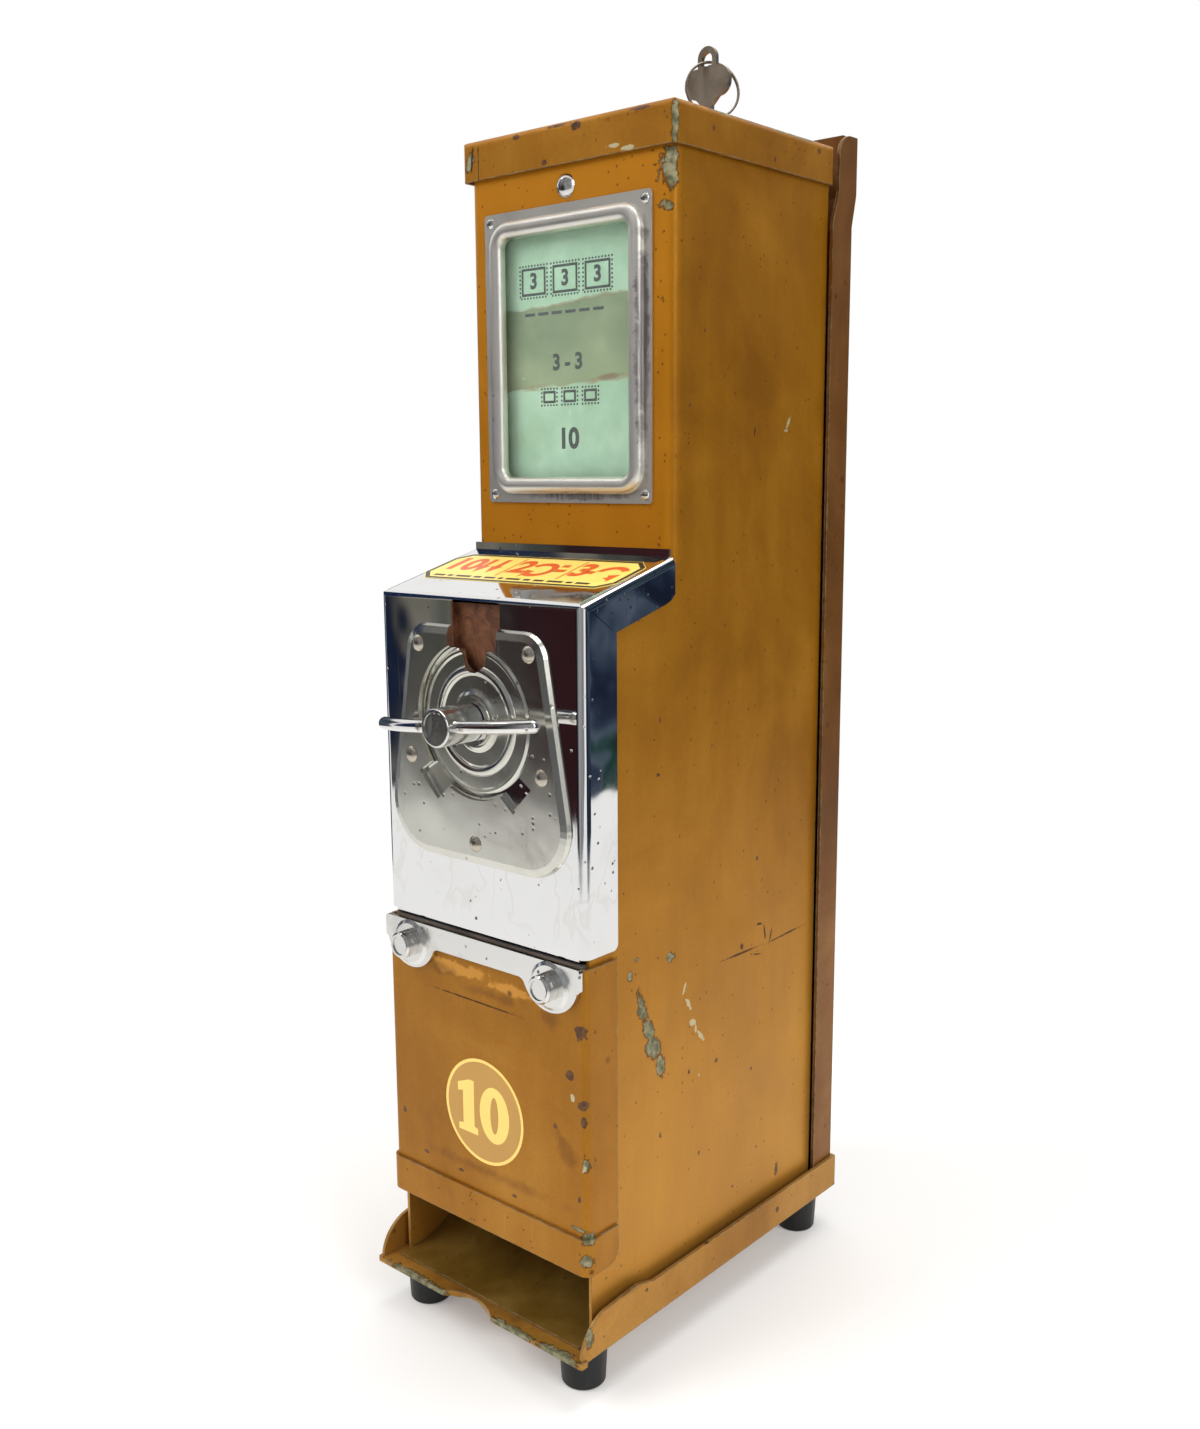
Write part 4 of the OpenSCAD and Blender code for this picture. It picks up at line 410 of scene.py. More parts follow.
def card_stock():
    """Mint card, sun-bleached, with a band where old tape has browned it."""
    f = Finish("window_card", Roughness=0.75)
    sheet = f.ramp(f.noise(60, 5, 0.6), (0.32, tint(142, 176, 142)), (0.5, tint(154, 190, 160)),
                   (0.68, tint(172, 206, 178)))
    slanted = f.sum("SUBTRACT", f.axis("Z"), f.times(f.axis("X"), 0.056))
    ragged = f.times(f.sum("SUBTRACT", f.noise(120, 4), 0.5), 4 * MM)
    height = f.sum("ADD", slanted, ragged)
    low, high, soft = 325.3 * MM, 352.0 * MM, 0.6 * MM
    tape = f.times(f.step(height, low, low + soft), f.step(height, high, high - soft))
    olive = f.ramp(f.noise(50, 4, 0.6, warp=0.5), (0.3, tint(88, 104, 62)), (0.7, tint(120, 134, 90)))
    olive = f.coat(olive, f.step(height, 343 * MM, 331 * MM), 0.35, tint(150, 164, 118))
    sheet = f.coat(sheet, tape, 0.92, olive)
    # gold and brown rims where the tape's glue has crept
    lower = f.times(f.step(height, low - 1.1 * MM, low - 0.2 * MM), f.step(height, low + 1.4 * MM, low))
    upper = f.times(f.step(height, high - 1.2 * MM, high), f.step(height, high + 0.5 * MM, high))
    crept = f.times(f.most(lower, f.times(upper, 0.6)), f.step(f.noise(45, 3), 0.36, 0.6))
    sheet = f.coat(sheet, crept, 0.9, tint(132, 98, 38))
    blot = f.mark([on_front(17, 327.2, 7.5, 1.7, -3.44, CARD_Y)], f.noise(160, 4), 1.6, 0.0, 0.5)
    sheet = f.coat(sheet, blot, 0.8, tint(112, 82, 30))
    sheet = f.coat(sheet, f.step(f.noise(300, 3, 0.6), 0.66, 0.74), 0.35, tint(214, 226, 204))
    sheet = f.coat(sheet, f.step(f.noise(25, 4, 0.6), 0.55, 0.75), 0.25, tint(186, 194, 150))
    return f.wear(Base_Color=sheet, Normal=f.bump(f.noise(800, 3), 0.1 * MM, 0.25))


def printed(name, colour, worn_to, hole=0.72, gloss=0.5):
    """A flat printed ink that has rubbed thin in places."""
    f = Finish(name, Roughness=gloss)
    worn = f.step(f.noise(260, 4, 0.6), hole, hole + 0.1)
    shade = f.mix(f.times(f.noise(80, 3), 0.25), colour, worn_to)
    return f.wear(Base_Color=f.mix(worn, shade, worn_to))


def dress(material, *names):
    for name in names:
        if not nodes[name].material_slots:
            nodes[name].data.materials.append(material)
        for slot in nodes[name].material_slots:
            slot.material = material


side_bare = marks(
    on_side, (28.4, 124.6, 2.0, 6.6, -16), (31.6, 116.0, 2.4, 5.0, -30), (34.6, 108.6, 3.4, 5.0, -30),
    (38.2, 101.6, 2.2, 4.6, -8), (43.2, 137.7, 2.0, 1.6), (22.4, 137.1, 1.2, 1.6),
    (25.8, 141.7, 0.9, 0.8), (45.4, 388.0, 1.6, 7.0, 0, 43.6), (44.9, 376.5, 0.9, 1.6, 0, 44.0))
side_spots = marks(
    on_side, (43.5, 349.0, 1.7, 2.2, 25), (41.7, 273.7, 0.9, 2.0), (52.8, 317.0, 0.6, 0.8),
    (36.8, 200.6, 1.2, 0.7), (93.2, 160.9, 1.0, 1.0), (72.6, 245.8, 0.5, 0.7), (65.8, 206.0, 0.7, 0.6),
    (69.7, 92.7, 0.8, 1.0), (91.3, 82.3, 0.6, 0.7), (53.8, 94.0, 0.7, 1.0), (38.0, 76.6, 0.6, 1.0),
    (95.2, 50.2, 0.8, 0.9), (108.8, 36.6, 1.1, 3.4, 8), (80.3, 40.5, 0.9, 0.7), (59.8, 61.7, 0.6, 0.8),
    (60.4, 340.4, 0.5, 0.6), (37.8, 218.4, 0.5, 1.0))
side_flecks = marks(
    on_side, (51.1, 124.5, 0.8, 2.6, 25), (53.6, 118.4, 0.9, 2.6, -30), (55.8, 110.8, 1.9, 1.2, 20),
    (60.6, 104.6, 0.8, 2.6, -40), (57.6, 108.4, 0.6, 1.4), (108.6, 312.6, 0.8, 2.8, 28),
    (107.4, 310.0, 1.4, 0.6), (59.5, 90.6, 0.5, 0.7))
side_scratches = marks(
    on_side, (84, 128.0, 15.5, 0.5, 1.2), (112, 127.8, 14, 0.42, -2.0), (98.6, 132.5, 0.7, 4.2, -12),
    (102.6, 130.0, 0.5, 5.0, 20), (95, 136.0, 2.6, 0.6, 10), (84.5, 130.6, 1.4, 2.0, -30),
    (94, 125.0, 3.5, 0.35, 12), (88.7, 309.9, 0.4, 2.0, 10))
# the body's paint gets painted light: lighter towards the foot for the floor's reflection, warmer on
# the upper front for the lamps
body_paint = worn_paint(
    "body_enamel", tint(142, 90, 14), tint(160, 105, 18), tint(176, 121, 31), side_bare, side_spots,
    side_flecks, side_scratches, foot=0.34, front=at(0, BODY_FRONT_Y, UPPER_FRONT_Z))
lid_paint = worn_paint(
    "lid_enamel", tint(138, 87, 15), tint(157, 103, 22), tint(174, 120, 38),
    bare=marks(patch, (45.6, 43.4, 400.0, 1.2, 1.4, 8.5), (46.0, 70.0, LID_TOP_EDGE_Z, 1.2, 16.0, 0.7),
               (46.0, 108.0, LID_TOP_EDGE_Z, 1.2, 20.0, 0.7))
    + [(at(-42.0, 43.0, 400.0), (1.6, 3.0, 4.0), (0, 0.4, 0))],
    spots=marks(on_front, (6.4, 404.6, 2.2, 1.6), (-20, 405.0, 1.6, 1.0), (33, 405.6, 5.0, 0.7),
                (-2, 405.8, 6.0, 0.6), (-7.7, 395.4, 1.2, 0.8), y=LID_FRONT_Y)
    + marks(on_side, (62, 401, 0.8, 0.9), (96, 397, 0.7, 1.2), x=LID_SIDE_X),
    flecks=marks(on_front, (22.0, 396.2, 3.8, 0.8), (27.0, 394.8, 3.4, 0.8), y=LID_FRONT_Y),
    scratches=[on_front(-41.0, 400.5, 0.5, 5.5, 6, LID_FRONT_Y)], wear=1.25)
cover_paint = worn_paint(
    "cover_enamel", tint(140, 90, 20), tint(156, 103, 26), tint(170, 118, 40),
    bare=marks(on_front, (45.0, 81.0, 0.9, 3.0), (41.4, 58.4, 3.2, 0.7))
    + marks(patch, (45.2, 0.6, 55.6, 2.2, 2.2, 1.8), (45.0, 0.2, 48.6, 2.2, 2.2, 2.4)),
    spots=marks(on_front, (43.6, 125.0, 2.2, 3.2), (38.8, 109.4, 1.9, 1.8), (44.0, 100.8, 1.6, 1.8),
                (44.4, 95.4, 1.0, 1.8), (32.6, 90.6, 0.8, 1.0), (-29, 61.5, 1.6, 0.8),
                (-12, 60.4, 2.0, 0.6), (14, 59.8, 1.2, 0.6), (-40.4, 74.0, 0.9, 1.4),
                (42.6, 69.0, 0.8, 1.2)),
    flecks=marks(on_front, (40.2, 102.4, 0.9, 1.2), (44.6, 79.6, 0.6, 1.6, 20)),
    scratches=[on_front(-2, 123.6, 26, 0.4, 0.4)],
    stains=marks(on_front, (37.0, 84.0, 4.5, 12, -32), (-20, 131.5, 12, 3.0), (4, 127.5, 22, 2.4),
                 (30, 126.0, 8, 3.4), (0, 64.0, 40, 3.0)),
    thinned=marks(on_front, (-10, 133.0, 16, 2.8), (13, 131.4, 11, 2.4)), wear=1.25)
pan_paint = worn_paint(
    "pan_enamel", tint(146, 98, 32), tint(166, 116, 44), tint(184, 136, 62),
    bare=marks(patch, (-30, -7.8, 16.6, 13, 1.9, 1.9), (-12, -7.9, 16.4, 6, 1.5, 1.8),
               (19, -7.9, 16.6, 11, 1.7, 1.9), (39, -7.8, 16.6, 9, 2.2, 2.0),
               (48.6, -3.0, 24.0, 2, 1.6, 3.6)),
    stains=[patch(0, -2, 17, 44, 5.5, 3)]
    + marks(on_side, (20, 31, 14, 1.6), (70, 31, 30, 1.2), x=PAN_SIDE_X),
    spots=marks(on_side, (26, 27.0, 0.9, 0.8), (60, 29.0, 1.2, 0.7), (104, 22.5, 1.0, 1.2),
                (84, 33.0, 0.8, 0.6), x=PAN_SIDE_X), wear=1.35)
chute_paint = worn_paint("chute_enamel", tint(98, 70, 24), tint(126, 94, 34), tint(158, 124, 60),
                         stains=[on_front(0, 30, 44, 12, y=20)], wear=1.3)
channel_paint = worn_paint("channel_enamel", tint(98, 60, 24), tint(120, 76, 32), tint(142, 98, 50),
                           wear=1.3)

seam_lines = [(at(x, 7.9, 253.1), (3, 0.22, 9.6), (math.radians(56), 0, 0)) for x in (-45.3, 45.3)]
chrome = plated("chrome_plate", (0.79, 0.785, 0.77, 1), 0.025, 0.07, haze=0.10, wave=0.10,
                seams=seam_lines, smear=(149 * MM, 196 * MM))
bar_chrome = plated("bar_chrome", (0.72, 0.71, 0.68, 1), 0.1, 0.3, haze=0.4, pits=1.4, wave=0.1)
shield_plating = plated("shield_plate", (0.62, 0.61, 0.55, 1), 0.1, 0.26, haze=0.45, pits=1.3,
                        wave=0.12)
rivet_plating = plated("rivet_nickel", (0.50, 0.45, 0.37, 1), 0.2, 0.34, haze=0.3, pits=1.0)
handle_plating = plated(
    "handle_plate", (0.74, 0.73, 0.70, 1), 0.07, 0.18, haze=0.25, pits=1.2,
    stains=marks(on_front, (-9.5, 218.0, 2.6, 2.2), (9.0, 219.5, 1.8, 2.0), y=-14),
    stain_colour=tint(110, 74, 44))
barrel_plating = plated(
    "barrel_plate", (0.66, 0.655, 0.63, 1), 0.09, 0.22, haze=0.3, pits=1.2,
    stains=[patch(0, -18.6, 218.5, 6.4, 0.9, 6.4)], stain_colour=tint(96, 94, 92))
frame_plating = plated(
    "worn_nickel", (0.80, 0.77, 0.70, 1), 0.32, 0.46, haze=0.35, pits=1.3,
    stains=marks(on_front, (33.6, 335, 2.6, 46), (-33.2, 322, 1.6, 26), (4, 288.6, 26, 1.6), y=FRAME_Y),
    stain_colour=tint(108, 96, 104))
bright_nickel = plated("bright_nickel", (0.70, 0.69, 0.66, 1), 0.12, 0.24, haze=0.2)
zinc = plain_steel("zinc_sheet", tint(176, 178, 180), tint(140, 142, 146))
brass = plain_steel("turned_brass", tint(196, 160, 84), tint(150, 116, 58), 0.35)
casting = plain_steel("dark_casting", tint(70, 70, 72), tint(48, 48, 50), 0.6)
key_steel = plain_steel("key_steel", tint(176, 164, 146), tint(128, 114, 96), 0.34)
ring_steel = plain_steel("ring_steel", tint(156, 148, 134), tint(112, 100, 84), 0.3)

dress(body_paint, "body_shell")
dress(lid_paint, "top_lid")
dress(cover_paint, "lower_cover", "cover_band")
dress(pan_paint, "base_pan")
dress(chute_paint, "delivery_chute")
dress(channel_paint, "back_channel")
dress(chrome, "mechanism_cover")
dress(bar_chrome, "retainer_bar")
dress(shield_plating, "shield_plate", "dial_ring")
dress(rivet_plating, "shield_rivets")
dress(handle_plating, "handle_bar", "front_bush")
dress(barrel_plating, "handle_barrel")
dress(frame_plating, "window_frame")
dress(bright_nickel, "dome_screw", "frame_screws", "retainer_nuts", "cover_studs", "lock_body")
dress(rubber(), "rubber_feet")
dress(rusted(), "coin_track")
dress(clear_glass(), "window_glass")
dress(card_stock(), "window_card")
dress(key_steel, "door_key", "key_ring")
dress(brass, "rear_bush", "coin_wheel", "lock_plug")
dress(casting, "follower_weight")
dress(zinc, "foot_screws", "floor_screws", "channel_spacers", "channel_screws", "card_retainer",
      "lid_guide", "lock_striker", "mechanism_plate", "plate_posts", "spring_drum", "guide_studs",
      "bell_stud", "coin_chute", "coin_box", "box_runners", "stud_bracket", "stock_shelf",
      "column_guides", "lock_nut", "lock_cam", "handle_shaft", "crank_arm", "yoke_slide",
      "bell_crank", "pusher")


# ---------------------------------------------------------------- pieces

def settle(name, mesh, place, material, body):
    """A finished mesh, moved to its place and tidied, as a piece that rides on a body."""
    mesh.name = name
    mesh.transform(place)
    work = bmesh.new()
    work.from_mesh(mesh)
    bmesh.ops.remove_doubles(work, verts=work.verts, dist=1e-6)
    bmesh.ops.recalc_face_normals(work, faces=work.faces)
    work.to_mesh(mesh)
    work.free()
    mesh.materials.clear()
    mesh.materials.append(material)
    piece = bpy.data.objects.new(name, mesh)
    scene.collection.objects.link(piece)
    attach(piece, body)
    return piece


def as_mesh(source):
    """The plain mesh of an object as its modifiers leave it; the object goes."""
    scene.collection.objects.link(source)
    view = bpy.context.evaluated_depsgraph_get()
    mesh = bpy.data.meshes.new_from_object(source.evaluated_get(view))
    source.modifiers.clear()
    bpy.data.objects.remove(source)
    return mesh


def inlay(name, loops, place, thick, material):
    """Flat outlines with holes, in millimetres, as one thin solid."""
    drawn = bpy.data.curves.new(name, "CURVE")
    drawn.dimensions = "2D"
    drawn.fill_mode = "BOTH"
    drawn.extrude = thick * MM / 2
    for loop in loops:
        line = drawn.splines.new("POLY")
        line.points.add(len(loop) - 1)
        for point, (u, v) in zip(line.points, loop):
            point.co = (u * MM, v * MM, 0, 1)
        line.use_cyclic_u = True
    mesh = as_mesh(bpy.data.objects.new(name + "_drawn", drawn))
    return settle(name, mesh, place, material, "cabinet")


def figures(name, rows, place, thick, material, weight=0.055):
    """Numerals set in rows, each with its middle and height in millimetres, as one thin solid."""
    work = bmesh.new()
    for word, u, v, high in rows:
        letters = bpy.data.curves.new(name, "FONT")
        letters.body = word
        letters.size = high * MM / FIGURE_SHARE
        letters.extrude = thick * MM / 2
        letters.offset = weight * high * MM
        letters.resolution_u = 6
        letters.align_x = "CENTER"
        letters.align_y = "CENTER"
        mesh = as_mesh(bpy.data.objects.new(name + "_set", letters))
        mesh.transform(Matrix.Translation((u * MM, v * MM, 0)))
        work.from_mesh(mesh)
        bpy.data.meshes.remove(mesh)
    joined = bpy.data.meshes.new(name)
    work.to_mesh(joined)
    work.free()
    return settle(name, joined, place, material, "cabinet")


class Grower:
    """A geometry tree with named sizes, grown once into a plain mesh."""

    def __init__(self, name, **sizes):
        self.name = name
        self.sizes = sizes
        self.tree = bpy.data.node_groups.new(name, "GeometryNodeTree")
        face = self.tree.interface
        face.new_socket("Geometry", in_out="OUTPUT", socket_type="NodeSocketGeometry")
        self.sockets = {}
        for key, value in sizes.items():
            kind = "NodeSocketInt" if isinstance(value, int) else "NodeSocketFloat"
            self.sockets[key] = face.new_socket(key, in_out="INPUT", socket_type=kind)
        self.feed = self.tree.nodes.new("NodeGroupInput")

    def size(self, key):
        return self.feed.outputs[key]

    def add(self, kind, inputs=None, **settings):
        made = self.tree.nodes.new("GeometryNode" + kind)
        for key, value in settings.items():
            setattr(made, key, value)
        for key, value in (inputs or {}).items():
            if isinstance(value, bpy.types.NodeSocket):
                self.tree.links.new(value, made.inputs[key])
            else:
                made.inputs[key].default_value = value
        return made.outputs[0]

    def join(self, *parts):
        made = self.tree.nodes.new("GeometryNodeJoinGeometry")
        for part in parts:
            self.tree.links.new(part, made.inputs[0])
        return made.outputs[0]

    def grow(self, shape, place, material, body, slot):
        real = self.add("RealizeInstances", {0: shape})
        painted = self.add("SetMaterial", {"Geometry": real, "Material": material})
        out = self.tree.nodes.new("NodeGroupOutput")
        self.tree.links.new(painted, out.inputs[0])
        base = bpy.data.objects.new(self.name + "_base", bpy.data.meshes.new(self.name))
        modifier = base.modifiers.new("grow", "NODES")
        modifier.node_group = self.tree
        for key, value in self.sizes.items():
            modifier[self.sockets[key].identifier] = value
        return settle(self.name, as_mesh(base), place, material, body)


def on_face(x, y, z, lift):
    """Draws flat on a front at that place: u to the right, v up, lifted off it towards the viewer."""
    return Matrix.Translation(at(x, y - lift, z)) @ Matrix.Rotation(FACE_TURN, 4, "X")


def on_slope(along, lift):
    """Draws flat on the sloped top, a distance up the slope from its front edge."""
    edge = Matrix.Translation(at(0, 0, SLOPE_EDGE_Z)) @ Matrix.Rotation(SLOPE_TURN, 4, "X")
    return edge @ Matrix.Translation((0, along * MM, lift * MM))


def oval(u, v, half_wide, half_high, count=48):
    turns = (2 * math.pi * i / count for i in range(count))
    return [(u + half_wide * math.cos(a), v + half_high * math.sin(a)) for a in turns]


def cut_sheet(half_wide, half_high, corner):
    """A sheet with its four corners cut off straight."""
    w, h = half_wide, half_high
    u, v = w - corner, h - corner
    return [(-u, -h), (u, -h), (w, -v), (w, v), (u, h), (-u, h), (-w, v), (-w, -v)]


def bar(u, v, half_wide, half_high):
    return [(u - half_wide, v - half_high), (u + half_wide, v - half_high),
            (u + half_wide, v + half_high), (u - half_wide, v + half_high)]


def arrow(u, v, wide, high):
    """A block arrow that points down."""
    tip, shaft, end = wide / 2, wide / 4.8, high / 2
    return [(u - shaft, v + end), (u + shaft, v + end), (u + shaft, v), (u + tip, v), (u, v - end),
            (u - tip, v), (u - shaft, v)]


def turn_arrow(u, v, radius, thick, start, end, count=20):
    """An arrow bent round a circle, from one angle to another."""
    span = [start + (end - start) * i / count for i in range(count + 1)]
    tip = end + math.copysign(1.9 * thick / radius, end - start)

    def ring(r, a):
        return (u + r * math.cos(a), v + r * math.sin(a))
    outer = [ring(radius + thick / 2, a) for a in span]
    inner = [ring(radius - thick / 2, a) for a in reversed(span)]
    barb = 1.25 * thick
    head = [ring(radius + barb, end), ring(radius, tip), ring(radius - barb, end)]
    return outer + head + inner


def slope_label():
    """The yellow plate on the slope: a cut-cornered sheet with a border and three steps in signs."""
    sheet = printed("label_sheet", tint(248, 222, 116), tint(222, 180, 84), 0.8, 0.35)
    black = printed("label_black", tint(26, 24, 22), tint(120, 100, 50), 0.74, 0.4)
    red = printed("label_red", tint(214, 74, 26), tint(240, 166, 74), 0.72, 0.4)
    wide, high = LABEL_HALF
    thick, clear = 0.12, 0.01
    on_sheet = on_slope(LABEL_MID, thick + INK)
    inlay("label_plate", [cut_sheet(wide, high, 5)], on_slope(LABEL_MID, thick / 2 + clear), thick,
          sheet)
    # a border, and a broken line of small print as dashes
    lines = [cut_sheet(wide - 0.2, high - 0.2, 4.9), cut_sheet(wide - 1.7, high - 1.5, 4.3)]
    spot, pause = 6.4 - wide, 1.5
    for length in (5.2, 2.4, 7.0, 3.4, 5.0, 2.0, 6.2, 3.0, 4.4, 6.6, 2.6, 5.6):
        lines.append(bar(spot + length / 2, 3.4 - high, length / 2, 0.75))
        spot += length + pause
    inlay("label_rim", lines, on_sheet, INK, black)
    # coin in, handle forward, handle back
    signs = [arrow(u, 1.6, 5.2, 13) for u in (-22.5, -16.5)]
    for u, start, end in ((4.0, 150, -120), (33.5, 30, 300)):
        signs.append(turn_arrow(u, 0.6, 5.2, 2.6, math.radians(start), math.radians(end)))
    signs += [bar(11.8, 5.0, 1.6, 1.1), bar(12.6, 0.8, 2.4, 1.1), bar(25.4, 0.8, 2.0, 1.1)]
    signs += [bar(u, 1.6, 0.35, 8.4) for u in (-9.8, 17.2)]
    inlay("label_signs", signs, on_sheet, INK, red)
    steps = [(word, u, 1.8, 10.5) for word, u in (("10", -32), ("2", -5), ("3", 21.6))]
    figures("label_numbers", steps, on_sheet, INK, red, 0.06)


def price_disc():
    """The price transfer on the lower cover: a gold disc with a pale rim and fat numerals."""
    gold = printed("disc_gold", tint(186, 140, 62), tint(158, 112, 46), 0.7, 0.45)
    pale = printed("disc_pale", tint(250, 212, 112), tint(214, 166, 82), 0.74, 0.45)
    front_y = (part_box("lower_cover")[0].y + DEPTH_MID) / MM
    radius, rim_radii = 17.9, (18.4, 17.3)
    inlay("disc_ground", [oval(0, 0, radius, radius)], on_face(0, front_y, DISC_Z, 0.03), 0.05, gold)
    one = [(-12.2, -9.4), (-3.0, -9.4), (-3.0, -7.2), (-4.7, -6.7), (-4.7, 9.6), (-7.0, 9.6),
           (-12.4, 7.4), (-12.4, 4.4), (-10.0, 5.0), (-10.0, -6.7), (-12.2, -7.2)]
    zero = [oval(4.9, 0, 6.9, 9.9), oval(4.9, 0, 1.9, 6.5)]
    rim = [oval(0, 0, edge, edge) for edge in rim_radii]
    inlay("disc_figures", [one] + zero + rim, on_face(0, front_y, DISC_Z, 0.075), 0.03, pale)


def stamp_row(name, middle_x, middle_z, wide, high, gap, count, material):
    """A row of perforated stamps: a printed frame inside a line of punched holes."""
    g = Grower(name, Width=wide * MM, Height=high * MM, Pitch=gap * MM, Inset=2.2 * MM, Stamps=count,
               Hole=0.4 * MM, Spacing=1.4 * MM, Line=1.2 * MM)
    outline = g.add("CurvePrimitiveQuadrilateral", {
        "Width": g.size("Width"), "Height": g.size("Height")})
    beads = g.add("ResampleCurve", {"Curve": outline, "Length": g.size("Spacing")}, mode="LENGTH")
    dot = g.add("MeshCylinder", {"Vertices": 8, "Radius": g.size("Hole"), "Depth": INK * MM})
    holes = g.add("InstanceOnPoints", {"Points": beads, "Instance": dot})

    def less(key):
        made = g.tree.nodes.new("ShaderNodeMath")
        made.operation = "SUBTRACT"
        g.tree.links.new(g.size(key), made.inputs[0])
        g.tree.links.new(g.size("Inset"), made.inputs[1])
        return made.outputs[0]
    inner = g.add("CurvePrimitiveQuadrilateral", {"Width": less("Width"), "Height": less("Height")})
    section = g.add("CurvePrimitiveQuadrilateral", {"Width": g.size("Line"), "Height": INK * MM})
    frame_line = g.add("CurveToMesh", {"Curve": inner, "Profile Curve": section, "Fill Caps": True})
    stamp = g.add("RealizeInstances", {0: g.join(holes, frame_line)})
    step = g.tree.nodes.new("ShaderNodeCombineXYZ")
    g.tree.links.new(g.size("Pitch"), step.inputs[0])
    places = g.add("MeshLine", {"Count": g.size("Stamps"), "Offset": step.outputs[0]})
    row = g.add("InstanceOnPoints", {"Points": places, "Instance": stamp})
    start = middle_x - gap * (count - 1) / 2
    return g.grow(row, on_face(start, CARD_Y, middle_z, INK), material, "cabinet", "mint_card")


def card_print():
    """The print on the window card: perforated stamps, figures and rules."""
    black = printed("card_ink", tint(14, 17, 14), tint(52, 64, 50), 0.9, 0.6)
    stamp_row("card_stamps_large", -3.4, STAMP_ROW_Z, 12.4, 10.4, 14.2, 3, black)
    stamp_row("card_stamps_small", -1.8, 321.4, 7.0, 5.4, 9.2, 3, black)
    on_card = on_face(0, CARD_Y, CARD_MID_Z, INK)
    rows = [("3", u, STAMP_ROW_Z, 4.8) for u in (-17.6, -3.4, 10.8)]
    rows += [("3 - 3", -2.6, 332.4, 5.0), ("10", -2.4, 307.3, 6.4)]
    figures("card_figures", [(word, u, z - CARD_MID_Z, high) for word, u, z, high in rows], on_card,
            INK, black)
    rules = [bar(-19.4 + 6.1 * i, 348.7 - CARD_MID_Z, 2.3, 0.5) for i in range(6)]
    inlay("card_rules", rules, on_card, INK, black)


def split_ring():
    """The wire ring on the key, two close turns, in the place of the plain one."""
    low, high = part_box("key_ring")
    body = body_of(nodes["key_ring"])[0]
    wire = 0.36 * MM
    g = Grower("split_ring", Radius=8.9 * MM, Rise=2.9 * wire, Turns=1.92, Wire=wire)
    coil = g.add("CurveSpiral", {
        "Resolution": 40, "Rotations": g.size("Turns"), "Start Radius": g.size("Radius"),
        "End Radius": g.size("Radius"), "Height": g.size("Rise")})
    section = g.add("CurvePrimitiveCircle", {"Resolution": 12, "Radius": g.size("Wire")})
    shape = g.add("CurveToMesh", {"Curve": coil, "Profile Curve": section, "Fill Caps": True})
    lean, turn = math.radians(-12), math.radians(58)
    place = (Matrix.Translation((low + high) / 2) @ Matrix.Rotation(lean, 4, "Y")
             @ Matrix.Rotation(turn, 4, "Z") @ Matrix.Rotation(FACE_TURN, 4, "X")
             @ Matrix.Rotation(math.radians(200), 4, "Z") @ Matrix.Translation((0, 0, -1.45 * wire)))
    ring = g.grow(shape, place, ring_steel, body, "worn_nickel")
    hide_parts("key_ring")


slope_label()
price_disc()
card_print()
split_ring()


# ---------------------------------------------------------------- studio

def stage_sheet(name, corners, material):
    mesh = bpy.data.meshes.new(name)
    mesh.from_pydata([tuple(c) for c in corners], [], [tuple(range(len(corners)))])
    sheet = bpy.data.objects.new(name, mesh)
    scene.collection.objects.link(sheet)
    mesh.materials.append(material)
    return sheet


def white_where_seen(tree):
    """Light Path share that is 1 for the camera and for rays that metal or glass sends on."""
    path = tree.nodes.new("ShaderNodeLightPath")
    share = path.outputs["Is Camera Ray"]
    for kind in ("Is Glossy Ray", "Is Transmission Ray"):
        larger = tree.nodes.new("ShaderNodeMath")
        larger.operation = "MAXIMUM"
        tree.links.new(share, larger.inputs[0])
        tree.links.new(path.outputs[kind], larger.inputs[1])
        share = larger.outputs[0]
    return share


def pale_world():
    world = bpy.data.worlds.new("studio")
    scene.world = world
    world.use_nodes = True
    tree = world.node_tree
    plain = tree.nodes["Background"]
    plain.inputs["Color"].default_value = (1, 1, 1, 1)
    plain.inputs["Strength"].default_value = 0.5
    seen = tree.nodes.new("ShaderNodeBackground")
    seen.inputs["Color"].default_value = (1, 1, 1, 1)
    seen.inputs["Strength"].default_value = 1.0
    mix = tree.nodes.new("ShaderNodeMixShader")
    tree.links.new(white_where_seen(tree), mix.inputs[0])
    tree.links.new(plain.outputs[0], mix.inputs[1])
    tree.links.new(seen.outputs[0], mix.inputs[2])
    tree.links.new(mix.outputs[0], tree.nodes["World Output"].inputs[0])


def pale_floor():
    """White paper that keeps the shadow near the object and fades into the backdrop further off."""
    f = Finish("studio_floor", Base_Color=(0.88, 0.87, 0.85, 1), Roughness=0.9)
    far = f.add("ShaderNodeVectorMath", {0: f.place}, operation="LENGTH").outputs["Value"]
    fade = f.sum("ADD", f.times(f.step(far, 0.12, 0.5), 0.8), 0.2)
    share = f.times(white_where_seen(f.tree), fade)
    glow = f.add("ShaderNodeEmission")
    mix = f.add("ShaderNodeMixShader", {0: share, 1: f.shader.outputs[0], 2: glow.outputs[0]})
    f.give(f.tree.nodes["Material Output"].inputs[0], mix.outputs[0])
    return f.material


def dark_room():
    """What the plating mirrors in front and beside it: a dim room with a little colour."""
    f = Finish("dark_room")
    # from 1 m left of the object up to its middle
    across = f.sum("ADD", f.axis("X"), 1.0)
    colour = f.ramp(across, (0.26, tint(28, 46, 84)), (0.31, tint(24, 34, 58)),
                    (0.345, tint(150, 146, 134)), (0.40, tint(92, 98, 92)), (0.46, tint(44, 30, 34)),
                    (0.6, tint(58, 30, 32)), (0.82, tint(34, 32, 40)), (0.98, tint(150, 152, 156)))
    shade = f.ramp(f.noise(3.2, 3, 0.6), (0.36, 0.35), (0.62, 1.25))
    return f.shine(f.mix(0.8, colour, shade, "MULTIPLY"))


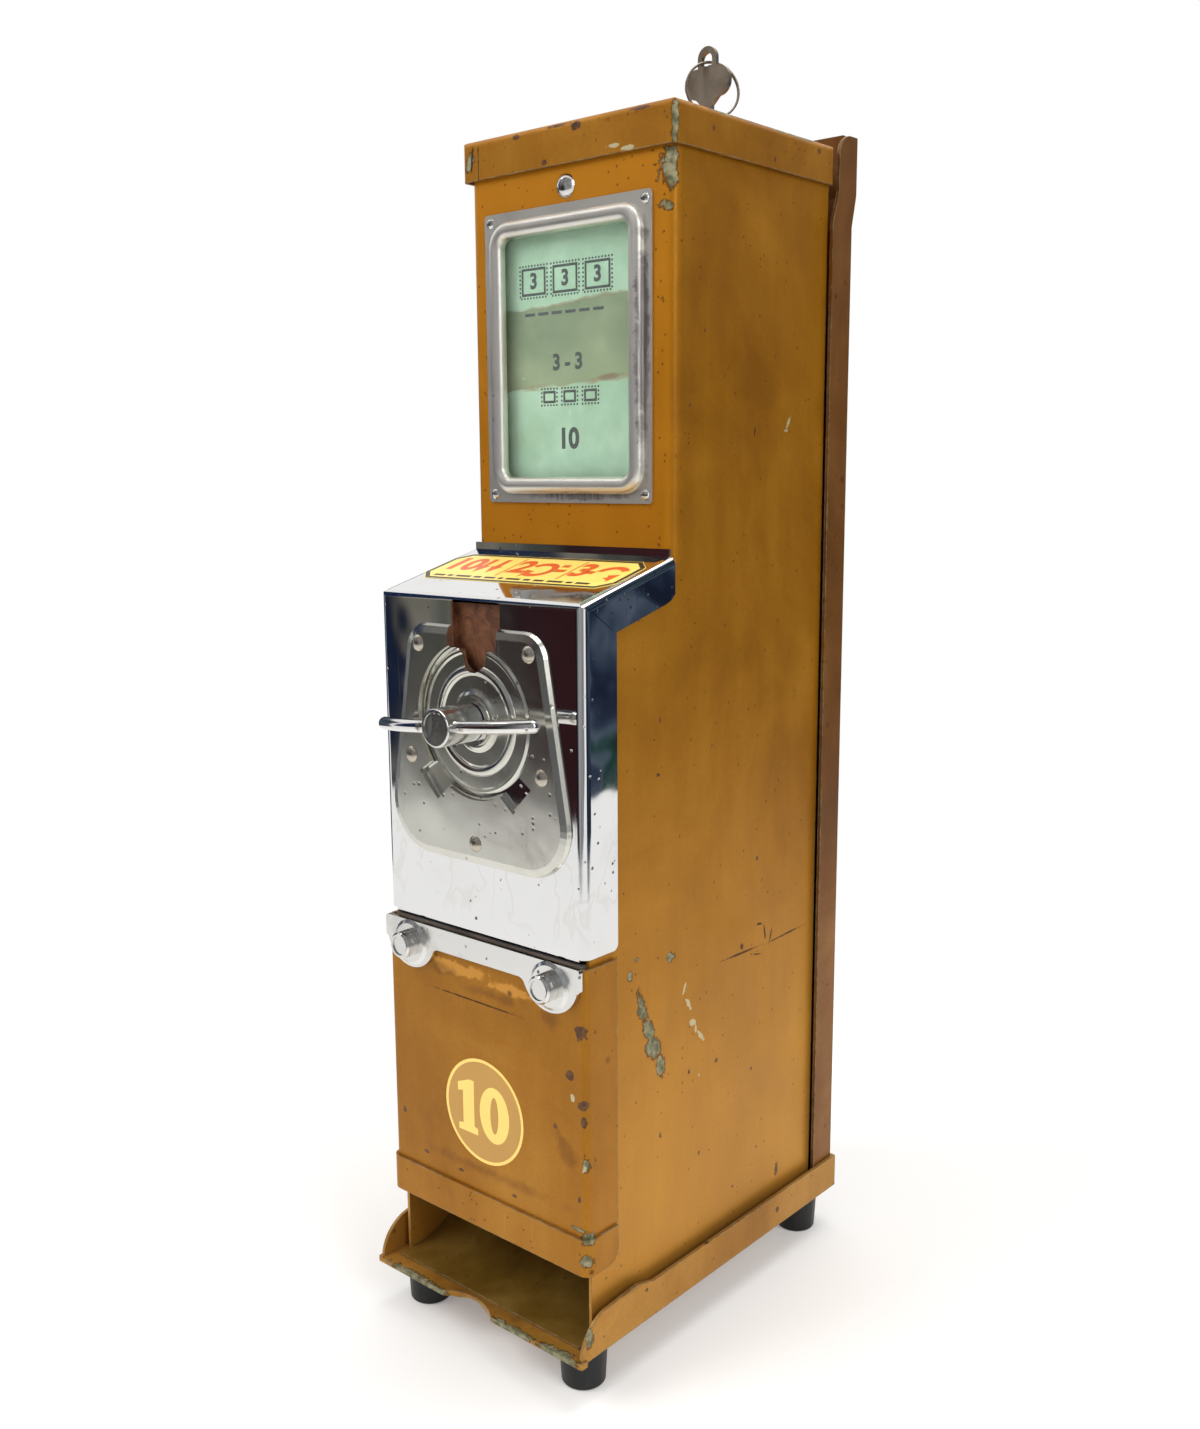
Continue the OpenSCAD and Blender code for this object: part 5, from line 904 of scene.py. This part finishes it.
def dim_wall():
    """The dim wall that the skirts mirror, with cool and teal patches."""
    f = Finish("dim_wall")
    return f.shine(f.ramp(
        f.noise(9, 3, 0.6, warp=0.6), (0.34, tint(22, 28, 44)), (0.46, tint(40, 50, 70)),
        (0.54, tint(84, 96, 112)), (0.6, tint(30, 62, 56)), (0.72, tint(32, 32, 40))))


def soft_lamp(name, place, power):
    """A square lamp that looks at the middle of the object."""
    width, middle = 0.9, Vector((0, 0, 0.22))
    lamp = bpy.data.lights.new(name, "AREA")
    lamp.shape = "RECTANGLE"
    lamp.size = lamp.size_y = width
    lamp.energy = power
    lamp_object = bpy.data.objects.new(name, lamp)
    lamp_object.location = place
    lamp_object.rotation_euler = (middle - Vector(place)).to_track_quat("-Z", "Y").to_euler()
    scene.collection.objects.link(lamp_object)


def studio():
    pale_world()
    reach = 3.0
    stage_sheet("studio_floor", [(-reach, -reach, 0), (reach, -reach, 0), (reach, reach, 0),
                                 (-reach, reach, 0)], pale_floor())
    # dim screens round the object, which only the metal and the paint's gloss see
    room, wall = dark_room(), dim_wall()
    tall, low = 1.6, 0.45
    for side, (x0, y0), (x1, y1), top, material in (
            ("front", (-1.8, -0.62), (0.9, -0.62), tall, room),
            ("right", (0.6, -0.2), (0.6, 1.6), tall, wall),
            ("left", (-0.62, 1.2), (-0.62, -0.2), low, wall),
            ("back", (0.6, 0.75), (-0.62, 0.75), low, wall)):
        corners = [(x0, y0, 0), (x1, y1, 0), (x1, y1, top), (x0, y0, top)]
        screen = stage_sheet("screen_" + side, corners, material)
        screen.visible_camera = False
        screen.visible_diffuse = False
        screen.visible_shadow = False
        screen.visible_transmission = False
    soft_lamp("key_lamp", (-0.7, -1.0, 1.2), 16)
    soft_lamp("side_lamp", (1.3, -0.2, 0.9), 11)
    soft_lamp("top_lamp", (0.1, 0.3, 1.5), 12)


def photo_camera():
    """The camera of the photograph, worked out from the cabinet's edges."""
    image_height = 1429
    focal_pixels = 1397.5
    yaw, pitch, roll = (math.radians(a) for a in (40.9517, -9.8528, -0.3709))
    ahead = Vector((-math.sin(yaw) * math.cos(pitch), math.cos(yaw) * math.cos(pitch), math.sin(pitch)))
    level = Vector((math.cos(yaw), math.sin(yaw), 0))
    rise = level.cross(ahead)
    right = level * math.cos(roll) + rise * math.sin(roll)
    up = rise * math.cos(roll) - level * math.sin(roll)
    data = bpy.data.cameras.new("photo_camera")
    data.sensor_width = 36
    data.lens = focal_pixels * data.sensor_width / image_height
    data.clip_start = 0.01
    camera = bpy.data.objects.new("photo_camera", data)
    camera.matrix_world = Matrix((
        (right.x, up.x, -ahead.x, 0), (right.y, up.y, -ahead.y, 0),
        (right.z, up.z, -ahead.z, 0), (0, 0, 0, 1)))
    camera.location = at(317.59, -306.09, 296.50)
    scene.collection.objects.link(camera)
    scene.camera = camera


studio()
photo_camera()
scene.view_settings.view_transform = "Standard"
